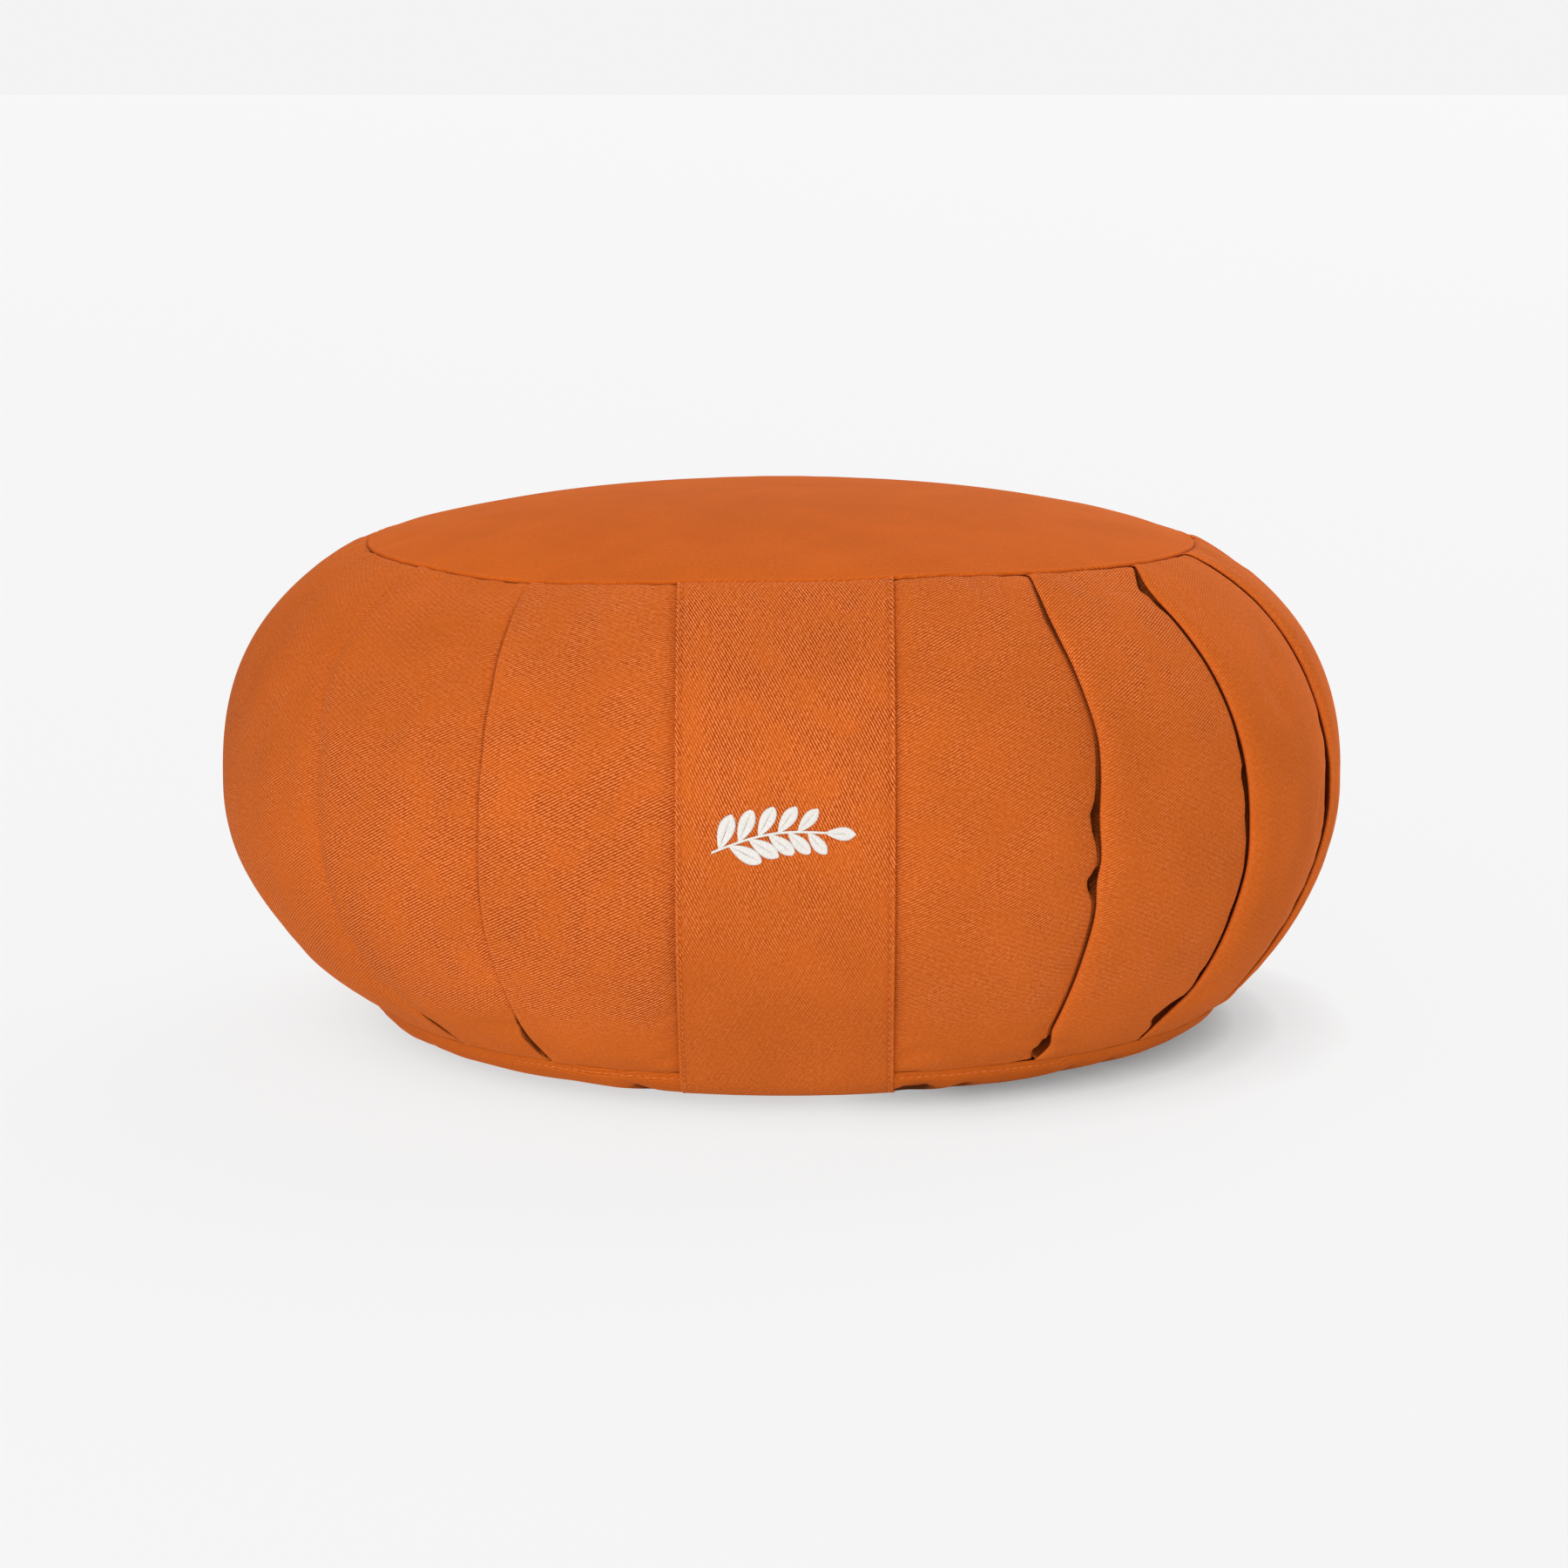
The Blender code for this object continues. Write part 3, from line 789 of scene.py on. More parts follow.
# %% Turning rings of points into cloth
def closed_skin(name, rings, spots, poles, material, painted_light_and_tone=0.0, nap=1.0, pole_spots=((0, 0), (0, 0))):
    """A closed mesh through rings (ring, point, xyz) with its cloth map, faces outwards."""
    count, around = rings.shape[:2]
    points = np.concatenate([rings.reshape(-1, 3), np.array(poles, float)])
    flat = np.concatenate([spots.reshape(-1, 2), np.array(pole_spots, float)])
    index = np.arange(count * around).reshape(count, around)
    beside = np.roll(index, -1, axis=1)
    quads = np.stack([index[:-1], beside[:-1], beside[1:], index[1:]], -1).reshape(-1, 4)
    low, high = count * around, count * around + 1
    fans = [(b, a, low) for a, b in zip(index[0].tolist(), beside[0].tolist())]
    fans += [(a, b, high) for a, b in zip(index[-1].tolist(), beside[-1].tolist())]

    mesh = bpy.data.meshes.new(name)
    mesh.from_pydata(points.tolist(), [], quads.tolist() + fans)
    layer = mesh.uv_layers.new(name=CLOTH_MAP)
    corner = np.zeros(len(mesh.loops), np.int32)
    mesh.loops.foreach_get("vertex_index", corner)
    layer.data.foreach_set("uv", flat[corner].astype(np.float32).ravel())
    for label, values in ((PAINTED_LIGHT_AND_TONE_NAME, painted_light_and_tone), (NAP_NAME, nap)):
        every = np.append(np.ravel(values + np.zeros((count, around))), [0.0, 0.0])
        mesh.attributes.new(label, "FLOAT", "POINT").data.foreach_set("value", every.astype(np.float32))
    mesh.materials.append(material)
    mesh.shade_smooth()
    print(name, "has", len(quads) * 2 + len(fans), "triangles")
    return put_in_scene(name, mesh)


# %% [markdown]
# ## The pleated side
#
# Going round the cushion at one height, the cloth runs over a pleat, dips under the next folded
# edge, turns back, and comes out again as that edge. The same columns of points do this at every
# height: some for the rounded edge, some for the pleat, and some for the tuck beneath the next
# edge. Where the table of a fold gives an opening, the cloth beside the edge falls away into a
# hollow, which is painted dark. The tucks are painted dark too, and the folded edges paler.

# %% The columns of one pleat
EDGE_STEPS = np.array([0.0, 0.8, 1.7, 2.9, 4.4, 6.2]) * MM
BRINK_STEPS = np.array([6.4, 4.7, 3.5, 2.7, 2.0, 1.5, 1.05, 0.65, 0.3, 0.0]) * MM
PLAIN_COLUMNS = 13
NOSE_TURNS = np.radians([-90, -60, -30, 0, 30, 60])
CLEFT = 0.22 * MM  # left between a folded edge and the cloth below it
TUCK_SLOPE = 0.30
TUCK_IN = (0.10, 0.28, 0.52, 0.78, 1.0)  # shares of its depth on the way in
TUCK_OUT = (1.0, 0.75, 0.5, 0.25)  # and on the way out
# Painted shade deep in a tuck, and at its far end
TUCK_PAINTED_SHADE = -0.55
TUCK_END_PAINTED_SHADE = -0.6
HOLLOW_REACH = 0.60 * MM  # a hollow is this wide, and wider by a share of its opening
HOLLOW_SPREAD = 0.45
WIDE_HOLLOWS = {0: 0.60, 1: 0.95, 2: 2.0}  # the three on the right gape wider
LIFTS = {2: 0.60}  # the third one's edge also lifts off its neighbour, by this share of its opening
EDGE_HIDES = 0.30  # spread of the two hollows on the left, which the edges hide from the front
EDGE_PAINTED_SHADOW = 1.48  # so the painted shadow of those edges reaches further than the hollow
# Painted shade in a hollow beside a folded edge, and beside the two edges that hide theirs
HOLLOW_PAINTED_SHADE, HIDDEN_PAINTED_SHADE = 0.88, 0.95
PAINTED_SHADE_FULL_AT = 3.0 * MM  # depth at which a hollow's painted shade is full
DEEPEST = 9.0 * MM
LIP_BLEND = 0.0032  # how far the folded edge's height runs on into its pleat
EDGE_PAINTED_HIGHLIGHT, EDGE_HIGHLIGHT_REACH = 0.14, 1.1 * MM  # painted highlight on a folded edge, and how far in it reaches
FLAT_EDGE_LIGHT = 0.6  # share of the painted light and shade on an edge that lies flat
LIP_WAVE, LIP_REACH = 0.04 * MM, 0.006  # height and reach of the ripples beside an edge
LIP_LENGTHS = (0.014, 0.034)  # metres from one ripple to the next
NOSE = 0.60 * MM  # radius of a folded edge at the girth; it is half that at the seams
FLAT_NOSE = 0.75  # share of that radius on an edge that lies flat
TUCK_LEAST, TUCK_MORE = 0.8, 8.2  # mm: a tuck's depth at the seams, and how much deeper at the girth
# Openings over this many mm lead deeper, by up to this share when they are this much wider.
DEEPENS_FROM, DEEPENS, DEEPENS_OVER = 0.8, 1.2, 1.6
SPOT_STEP = 0.11  # metres of cloth between the middles of two pleats on the cloth map
SET_BACK = 1.3 * MM  # so that the swollen pleats reach the solid's girth and no further
nose_full = NOSE * (0.50 + 0.50 * (1.0 - row_share**6))
nose_flat = FLAT_NOSE * nose_full
tuck_depth = (TUCK_LEAST + TUCK_MORE * (1.0 - row_share**4)) * MM
# Painted shade under a folded edge's rounding and painted highlight over its tip, from below up
NOSE_PAINTED_LIGHT = (-0.50, -0.35, -0.08, 0.10, 0.17, 0.15)
# How far the ridges still stand on the pleats that show, at their foot, middle and top. Every foot
# is rubbed nearly flat. On the last two to the right the ridges are painted faint all the way up,
# where the light falls flat on them.
NAP_RIGHT = ((0.12, 0.62, 0.78), (0.12, 0.45, 0.78), (0.10, 0.16, 0.28), (0.10, 0.20, 0.25))
NAP_LEFT = ((0.12, 0.60, 0.35), (0.12, 1.05, 0.45), (0.10, 1.15, 0.80))
NAP_FOOT = (0.019, 0.036)  # heights between which it changes
NAP_TOP = (0.096, 0.128)
side_columns = {"angle": [], "rise": [], "spot": [], "painted_light_and_tone": [], "nap": []}


def nap_of(number):
    """The ridges' standing at each row of a pleat."""
    dice = np.random.default_rng(500 + number)
    foot, middle, top = dice.uniform(0.1, 0.3), dice.uniform(0.6, 1.0), dice.uniform(0.3, 0.7)
    if number < len(NAP_RIGHT):
        foot, middle, top = NAP_RIGHT[number]
    if number >= len(shapes) - len(NAP_LEFT):
        foot, middle, top = NAP_LEFT[number - len(shapes)]
    off_foot = smooth_step((row_z - NAP_FOOT[0]) / (NAP_FOOT[1] - NAP_FOOT[0]))
    near_top = smooth_step((row_z - NAP_TOP[0]) / (NAP_TOP[1] - NAP_TOP[0]))
    return foot + (middle - foot) * off_foot + (top - middle) * near_top


def column(angle, rise, spot, nap, painted_light_and_tone=0.0):
    """One line of points up the side: its angle, rise, place on the cloth, nap and painted light and tone at
    each row.
    """
    for name, value in (("angle", angle), ("rise", rise), ("spot", spot), ("nap", nap), ("painted_light_and_tone", painted_light_and_tone)):
        side_columns[name].append(value + 0.0 * row_r)


def depth_of(opening):
    """How far the cloth falls away: wide openings lead into deep hollows."""
    wide = np.clip((opening / MM - DEEPENS_FROM) / DEEPENS_OVER, 0.0, 1.0)
    return np.minimum(DEEPEST, opening * (1.0 + DEEPENS * wide))


def lip_waves(number, distance):
    """Short soft ripples beside a folded edge."""
    dice = np.random.default_rng(300 + number)
    line = sum(
        np.sin(row_run * 2 * math.pi / dice.uniform(*LIP_LENGTHS) + dice.uniform(0, 6.28)) for _ in range(4)
    )
    return LIP_WAVE * line * fade(distance, LIP_REACH, 1) * (1.0 - row_share**4)


def lies_flat(number):
    """Whether a pleat's folded edge hardly stands off its left neighbour."""
    return number >= len(folds) - 1


def edge_light_of(number):
    """How strongly a pleat's folded edge is painted light and shade: less on an edge that lies flat."""
    return FLAT_EDGE_LIGHT if lies_flat(number) else 1.0


def nose_of(number):
    """The radius of a pleat's folded edge at each row."""
    return nose_flat if lies_flat(number) else nose_full


def hollow_of(number):
    """Depth and width of the hollow beside the next folded edge, and whether that edge hides it."""
    opening = folds[number][1] if number < len(folds) else 0.0 * row_r
    hidden = len(folds) - 2 <= number < len(folds)
    spread = EDGE_HIDES if hidden else WIDE_HOLLOWS.get(number, HOLLOW_SPREAD)
    return depth_of(opening), HOLLOW_REACH + spread * opening, hidden


def lift_of(number):
    """How far the folded edge on a pleat's right lifts off it."""
    return LIFTS.get(number, 0.0) * folds[number][1]


def nose_columns(number, spot, nap):
    """The rounded edge: from its underside, out to its tip, and up to the face; gives its top."""
    radius = nose_of(number)
    middle = shapes[number - 1](1.0) * relief + CLEFT + lift_of(number - 1) + radius
    # The rounded edge is painted dark beneath and pale at its tip.
    for turn, painted_light_and_tone in zip(NOSE_TURNS, NOSE_PAINTED_LIGHT):
        angle = edges[number] + radius * (1.0 - np.cos(turn)) / row_r
        rise = middle + radius * np.sin(turn)
        column(angle, rise, spot - radius * (math.pi / 2 - turn), nap, painted_light_and_tone * edge_light_of(number))
    return middle + radius


def face_columns(number, spot, nap, start, lip_top):
    """The pleat's face, from its folded edge to the brink of the next one."""
    left, shape = edges[number], shapes[number]
    width = (edges[number + 1] - left) * row_r
    depth, hollow, hidden = hollow_of(number)
    near = [start + step for step in EDGE_STEPS]
    far = [width - step for step in BRINK_STEPS]
    plain = [near[-1] + (far[0] - near[-1]) * k / (PLAIN_COLUMNS + 1) for k in range(1, PLAIN_COLUMNS + 1)]
    for distance in near + plain + far:
        to_right = width - distance
        part = distance / width
        rise = shape(part) * relief
        if number > 0:
            rise = rise + (lip_top - shape(0.0) * relief) * fade(distance - start, LIP_BLEND)
            rise = rise + lip_waves(number, distance - start)
        hollowed = fade(to_right, hollow, 8 if hidden else 4)
        rise = rise - depth * hollowed + read_table(swell_of[number], part, row_run / SIDE_LENGTH)
        # The hollow is painted dark; beside an edge that hides it, a wider painted shadow.
        dark = HOLLOW_PAINTED_SHADE * hollowed
        if hidden:
            dark = HIDDEN_PAINTED_SHADE * fade(to_right, EDGE_PAINTED_SHADOW * hollow, 8)
        painted_light_and_tone = -dark * np.clip(depth / PAINTED_SHADE_FULL_AT, 0.0, 1.0)
        # A painted highlight along the folded edge.
        if number > 0:
            painted_light_and_tone = painted_light_and_tone + EDGE_PAINTED_HIGHLIGHT * edge_light_of(number) * fade(distance - start, EDGE_HIGHLIGHT_REACH)
        column(left + distance / row_r, rise, spot + distance, nap, painted_light_and_tone)


def tuck_columns(number, spot, nap):
    """The tuck beneath the next folded edge: in along its lower layer, and out along its upper."""
    right = edges[number + 1]
    depth, hollow, _ = hollow_of(number)
    edge_level = shapes[number](1.0) * relief
    # Every column of the tuck is painted dark.
    for part in TUCK_IN:
        inward = tuck_depth * part
        fall = depth * fade(inward, 2.2 * hollow)
        level = edge_level - fall - TUCK_SLOPE * inward
        column(right + inward / row_r, level, spot + inward, nap, TUCK_PAINTED_SHADE)
    level = edge_level - TUCK_SLOPE * tuck_depth + 0.4 * CLEFT
    column(right + (tuck_depth + 0.25 * MM) / row_r, level, spot + tuck_depth, nap, TUCK_END_PAINTED_SHADE)
    nose = nose_of(number + 1)
    for part in TUCK_OUT:
        inward = nose + (tuck_depth - nose) * part
        level = edge_level + CLEFT - TUCK_SLOPE * (inward - nose) + lift_of(number) * (1.0 - part**2)
        column(right + inward / row_r, level, spot + 2 * tuck_depth - inward, nap, TUCK_PAINTED_SHADE)


def pleat_columns(number):
    """The folded edge, the face and the tuck of one pleat."""
    left, right = edges[number], edges[number + 1]
    zero = float(np.mean(left + right)) / 2
    first_spot = SPOT_STEP * number + (left - zero) * row_r
    last_spot = SPOT_STEP * number + (right - zero) * row_r
    nap = nap_of(number)
    start, lip_top = 0.0 * row_r, 0.0
    if number > 0:
        start, lip_top = nose_of(number), nose_columns(number, first_spot, nap)
    face_columns(number, first_spot, nap, start, lip_top)
    if number < len(folds):
        tuck_columns(number, last_spot, nap)


for pleat_number in range(len(shapes)):
    pleat_columns(pleat_number)
print(len(side_columns["angle"]), "columns in", len(shapes), "pleats")

# %% [markdown]
# The strip's two ends meet out of sight under the front panel, so a few plain columns lie there.
# At both seams the cloth rolls inwards, and two caps close the filled form behind the discs,
# where nobody sees them.

# %% The pleated side as one filled form
UNDER_PANEL = -1.5 * MM
CROWN = 0.0158  # the top disc's rise above its seam
TOP_SINK, BASE_SINK = 1.25 * MM, 0.16 * MM  # how far the cloth sinks at the two seams
SNUG_AT, SNUG_REACH = 60.0, 25.0  # degrees from the front
SNUG_FLATTENS = 0.6  # share of the rise that is lost there at the lower seam
# painted shade in the crease under the upper seam, and how far it reaches
SEAM_PAINTED_SHADE, SEAM_PAINTED_SHADE_REACH = 0.40, 0.6 * MM
PLAIN_CELLS = 6  # under the front panel
PLAIN_SPOT = 2.0  # metres: their place on the cloth map
CAP_DROP = 3.4 * MM  # the upper cap lies this far below the top disc's curve
CAP_HEIGHT = 0.0024  # and the lower one at this height


def roll_top(run):
    """How far the side's cloth sinks towards the upper seam."""
    return -TOP_SINK * fade(SIDE_LENGTH - run, 1.2 * MM, 1.3)


def snug(angle):
    """One at the lower left and right, where the filling pulls the seam out of sight."""
    return fade(np.abs(from_front(angle)) - SNUG_AT, SNUG_REACH, 6)


def roll_base(angle, run):
    """How far the cloth sinks towards the lower seam, from above or below it."""
    return -BASE_SINK * fade(np.abs(run), 1.0 * MM, 1.3) * (1.0 - snug(angle))


def set_back(run):
    """The side's cloth lies this far inside the plain curve, but for its seams."""
    middle = 2.0 * run / SIDE_LENGTH - 1.0
    return -SET_BACK * np.clip(1.0 - np.abs(middle) ** 6, 0.0, 1.0)


def crown_z(radius):
    """Height of the top disc's plain curve."""
    return TOP_SEAM_Z + CROWN * (1.0 - (np.clip(radius, 0.0, None) / TOP_SEAM_R) ** 2.7)


left_edge, right_edge = edges[-1], edges[0] + 2 * math.pi
for k in range(1, PLAIN_CELLS):
    cell = left_edge + (right_edge - left_edge) * k / PLAIN_CELLS
    column(cell, UNDER_PANEL, PLAIN_SPOT + (cell - left_edge) * row_r, 1.0)

side_angle, side_rise, side_spot, side_painted_light_and_tone, side_nap = (
    np.array(side_columns[name]).T for name in ("angle", "rise", "spot", "painted_light_and_tone", "nap")
)
run_grid = row_run[:, None]
side_rise = side_rise + lie(side_angle, run_grid) + set_back(run_grid)
side_rise = side_rise * (1.0 - SNUG_FLATTENS * snug(side_angle) * fade(run_grid, 3.0 * MM))
side_rise = side_rise + roll_top(run_grid) + roll_base(side_angle, run_grid)
# Painted shade in the crease under the upper seam.
side_painted_light_and_tone = side_painted_light_and_tone - SEAM_PAINTED_SHADE * fade(SIDE_LENGTH - run_grid, SEAM_PAINTED_SHADE_REACH, 1)
# Painted light and shade, with some tone, in broad patches.
side_painted_light_and_tone = side_painted_light_and_tone + light_and_tone_patches(side_angle, row_z[:, None])


def side_ring(row, extra_rise, extra_drop):
    """The ring of a row; with an extra rise and drop, one that rolls in beyond the side's end."""
    rise = side_rise[row] + extra_rise
    radius = row_r[row] + rise * row_out_r[row]
    z = row_z[row] + rise * row_out_z[row] + lift(side_angle[row], run_grid[row]) + extra_drop
    return place(side_angle[row], radius, z)


rings = [side_ring(row, 0.0, 0.0) for row in range(len(row_run))]
rings.append(side_ring(-1, -1.0 * MM, -0.1 * MM))
rings.append(side_ring(-1, -2.2 * MM, -0.3 * MM))
rings.insert(0, side_ring(0, -1.0 * MM, 0.3 * MM))
rings.insert(0, side_ring(0, -1.9 * MM, 0.8 * MM))
in_order = np.sort(side_angle[len(row_run) // 2])
inner_top = [place(in_order, r, crown_z(r) - CAP_DROP) for r in (0.114, 0.085, 0.040)]
inner_base = [place(in_order, r, z) for r, z in ((0.040, CAP_HEIGHT), (0.105, CAP_HEIGHT), (0.118, 0.0042))]
side_rings = np.array(inner_base + rings + inner_top)

spot_rows = np.concatenate([[0, 0], np.arange(len(row_run)), [len(row_run) - 1] * 2])
side_spots = np.stack([side_spot[spot_rows], (row_run[spot_rows])[:, None] + 0.0 * side_spot[spot_rows]], -1)
cap_spots = np.zeros((3,) + side_spots.shape[1:])
side_spots = np.concatenate([cap_spots, side_spots, cap_spots])
all_rows = np.concatenate([[0] * 5, np.arange(len(row_run)), [len(row_run) - 1] * 5])
pleated_cover = closed_skin(
    "pleated_cover", side_rings, side_spots,
    ((0, 0, CAP_HEIGHT), (0, 0, crown_z(0.0) - CAP_DROP)), side_twill,
    side_painted_light_and_tone[all_rows], side_nap[all_rows],
)

# %% [markdown]
# ## The top disc
#
# The top is one round of cloth, crowned by the filling. Its edge is sewn to the side with both
# allowances turned in, so the cloth rolls over at the seam as a narrow soft ridge, painted paler,
# with a crease beneath that is painted dark. Its rings go from the middle out along the cloth's
# inner face, round the edge, and back to the middle over its outer face. The same simulation as
# before gives it some slow unevenness, of which only a small share is used. The top is also
# painted a little darker all over, and paler towards its edge and its back.

# %% The top disc
DISC_AROUND = 384
CLOTH = 1.2 * MM
# Its edge: distance in from the edge, rise over the crown, in mm
TOP_ROLL = (
    (0.30, -1.30), (0.0, -1.08), (-0.12, -0.78), (-0.12, -0.46), (0.0, -0.16), (0.20, 0.05), (0.46, 0.15),
    (0.78, 0.15), (1.10, 0.08), (1.45, 0.0), (1.9, -0.05), (2.6, -0.06), (3.8, -0.03), (5.4, -0.01),
    (7.0, 0.0),
)
# Painted light and shade on the rings round the edge: dark in the crease, pale on the ridge
ROLL_PAINTED_LIGHT = (-0.6, -0.5, -0.25, 0.0, 0.07, 0.09, 0.06, 0.02, 0.0, -0.03, -0.02)
disc_angle = np.linspace(0.0, 2 * math.pi, DISC_AROUND, endpoint=False) + math.pi
DIMPLE = (-0.1120, -0.0300, 0.0040, 0.7 * MM)  # x, y, reach, depth
TOP_SWELL_SHARE = 0.15  # share of the simulated rise that the top takes
TOP_WAVE, TOP_EDGE_PUCKER = 0.05 * MM, 0.06 * MM
INNER_DROP = 0.4 * MM  # the inner face lies this far below the cloth's thickness
TOP_PAINTED_SHADE, TOP_EDGE_PAINTED_LIGHT, TOP_BACK_PAINTED_LIGHT = 0.03, 0.09, 0.05  # painted shade all over; painted light towards the edge and the back


def disc_swell():
    """The top's slow unevenness: a round skin pinned at its rim, run as cloth."""
    high, wide = 13, 49
    angle = np.linspace(0.0, 2 * math.pi, wide) + math.pi
    radius = np.linspace(0.012, TOP_SEAM_R, high)
    points = polar(angle, radius[:, None], crown_z(radius)[:, None])
    out = np.zeros_like(points)
    out[..., 2] = 1.0
    rise = swell("top_skin", points[None], out[None])[0]
    rise[0] = rise[1].mean()
    rise[:, 0] = rise[:, -1] = (rise[:, 1] + rise[:, -2]) / 2
    return rise


top_swell = disc_swell()
print("the top swells by up to %.2f mm" % (TOP_SWELL_SHARE * top_swell.max() / MM))


def top_ring(distance, rise):
    """A ring of the top's outer face at a distance in from its edge."""
    radius = TOP_SEAM_R - distance
    part = (disc_angle - math.pi) / (2 * math.pi)
    near_edge = fade(distance, SEAM_REACH)
    inner = min(1.0, distance / 0.010)
    z = crown_z(radius) + rise + seam_rise(disc_angle) * near_edge
    z = z + TOP_SWELL_SHARE * read_table(top_swell, part, 0.0 * part + radius / TOP_SEAM_R) * inner
    z = z + TOP_WAVE * waves(disc_angle, distance, (2, 5), 0.15, 21) * inner * min(1.0, radius / 0.03)
    z = z + TOP_EDGE_PUCKER * waves(disc_angle, distance, (45, 90), 0.05, 22) * fade(distance, 0.005, 1)
    ring = place(disc_angle, radius, z)
    away = np.hypot(ring[:, 0] - DIMPLE[0], ring[:, 1] - DIMPLE[1])
    ring[:, 2] -= DIMPLE[3] * fade(away, DIMPLE[2])
    return ring


inward = [d * MM for d, _ in TOP_ROLL]
rises = [rise * MM for _, rise in TOP_ROLL]
while inward[-1] < TOP_SEAM_R - 0.006:
    inward.append(inward[-1] + min(0.0042, 0.0014 + 0.18 * (inward[-1] - inward[-2])))
    rises.append(0.0)
inward = [d for d in inward if d < TOP_SEAM_R - 0.003]
outer_top = [top_ring(d, rise) for d, rise in zip(inward, rises)]
hidden_rim = [
    place(disc_angle, TOP_SEAM_R - d, TOP_SEAM_Z + drop + seam_rise(disc_angle))
    for d, drop in ((1.6 * MM, -1.7 * MM), (0.5 * MM, -1.6 * MM))
]
inner_radii = (0.020, 0.060, 0.095, 0.115)
inner_top_face = [place(disc_angle, r, crown_z(r) - CLOTH - INNER_DROP) for r in inner_radii]
top_rings = np.array(inner_top_face + hidden_rim + outer_top)
roll_painted_light = np.zeros(len(top_rings))
first_outer = len(inner_top_face) + len(hidden_rim)
roll_painted_light[first_outer:first_outer + len(ROLL_PAINTED_LIGHT)] = ROLL_PAINTED_LIGHT
top_radius = np.hypot(top_rings[..., 0], top_rings[..., 1])
# Painted shade all over, painted light towards the edge and the back
top_painted_light = roll_painted_light[:, None] - TOP_PAINTED_SHADE + TOP_EDGE_PAINTED_LIGHT * (top_radius / TOP_SEAM_R) ** 3
top_painted_light = top_painted_light + TOP_BACK_PAINTED_LIGHT * top_rings[..., 1] / TOP_SEAM_R
top_spots = top_rings[..., :2]
top_middle = float(outer_top[-1][:, 2].mean()) + 0.02 * MM
top_disc = closed_skin(
    "top_disc", top_rings, top_spots,
    ((0, 0, crown_z(0.0) - CLOTH - INNER_DROP), (0, 0, top_middle)), disc_twill, top_painted_light,
)

# %% [markdown]
# ## The bottom disc
#
# The filling's weight presses the bottom flat on the floor and leaves its rim standing up about
# a centimetre to the seam. There the cloth is short of room: it puckers, and here and there it
# lifts off the floor in a little arch, with painted shade where it turns under to make a dark
# notch. A line of stitching runs round just below the seam.

# %% The bottom disc
BASE_R = RIM_CURVE[-1][0]
# Arches: degrees round from the front, half width in degrees, height in mm
NOTCHES = (
    (-20.0, 1.4, 2.0), (17.4, 2.4, 3.2), (24.5, 1.4, 1.2), (39.8, 1.2, 1.7), (47.3, 1.5, 2.2),
    (-58.0, 0.8, 1.0),
)
STITCH_BELOW_SEAM = 2.0 * MM
ARCH_AT = 0.58  # share of the rim's length below the seam
ARCH_SPREAD = 0.30
ARCH_PAINTED_SHADE, ARCH_PAINTED_SHADE_AT = 0.8, 1.3 * MM  # how dark the painted shade under an arch gets, and at what arch height it is full
GROOVE, GROOVE_REACH = 0.12 * MM, 0.6 * MM  # the stitches sink into the cloth
RIM_PUCKER, RIM_SLACK = 0.07 * MM, 0.18 * MM
STILL_AT_PANEL = 14.5  # degrees either side of the front, where the rim isn't lifted
# The cloth's inner face: radius, height
INNER_BASE = (
    (BASE_R - 1.2 * MM, 0.0106), (BASE_R - 3.0 * MM, 0.0094), (0.1235, 0.0048), (0.1110, CLOTH),
    (0.060, CLOTH),
)


def arch_heights(angle):
    """How high each little arch stands round the rim, in metres."""
    total = 0.0
    for middle, half, height in NOTCHES:
        total = total + fade(from_front(angle) - middle, half) * height * MM
    dice = np.random.default_rng(41)
    for back in range(90, 270, 13):
        away = np.degrees(angle) % 360.0 - back - dice.uniform(-4, 4)
        total = total + fade(away, 1.3) * dice.uniform(0.3, 1.5) * MM
    return total


def rim_arches(angle, run):
    """How far the rim is lifted off the floor in its little arches."""
    return arch_heights(angle) * fade(run / RIM_LENGTH + ARCH_AT, ARCH_SPREAD)


def rim_painted_shade(angle, run):
    """Painted shade where the cloth turns under in an arch."""
    turned_under = smooth_step((-run / RIM_LENGTH - ARCH_AT + 0.02) / 0.12)
    return -ARCH_PAINTED_SHADE * np.clip(arch_heights(angle) / ARCH_PAINTED_SHADE_AT, 0.0, 1.0) * turned_under


def rim_ring(run):
    """A ring of the bottom's outer face, at a run below the seam (so under zero)."""
    r, z, out_r, out_z = on_curve(run)
    near_stitches = fade(run + STITCH_BELOW_SEAM, GROOVE_REACH)
    groove = -GROOVE * near_stitches * (1.0 - snug(disc_angle))
    pucker = RIM_PUCKER * waves(disc_angle, run, (40, 80), 0.03, 31) * (1.0 + run / RIM_LENGTH)
    rise = groove + roll_base(disc_angle, run) + pucker
    bow = 4 * (1.0 + run / RIM_LENGTH) * (-run / RIM_LENGTH)
    slack = RIM_SLACK * (1.0 + waves(disc_angle, run, (9, 26), 0.5, 32)) * bow
    beside_panel = 1.0 - fade(from_front(disc_angle), STILL_AT_PANEL, 12)
    up = (rim_arches(disc_angle, run) + slack) * beside_panel
    return place(disc_angle, r + rise * out_r, np.maximum(z + rise * out_z + up, 0.0))


flat_radii = (0.010, 0.040, 0.080, 0.100, 0.108)
outer_base = [place(disc_angle, r, 0.0) for r in flat_radii]
rim_runs = np.linspace(-RIM_LENGTH, 0.0, 48)
outer_base += [rim_ring(run) for run in rim_runs]
inner_base_face = [place(disc_angle, r, z) for r, z in INNER_BASE]
base_rings = np.array(outer_base + inner_base_face)
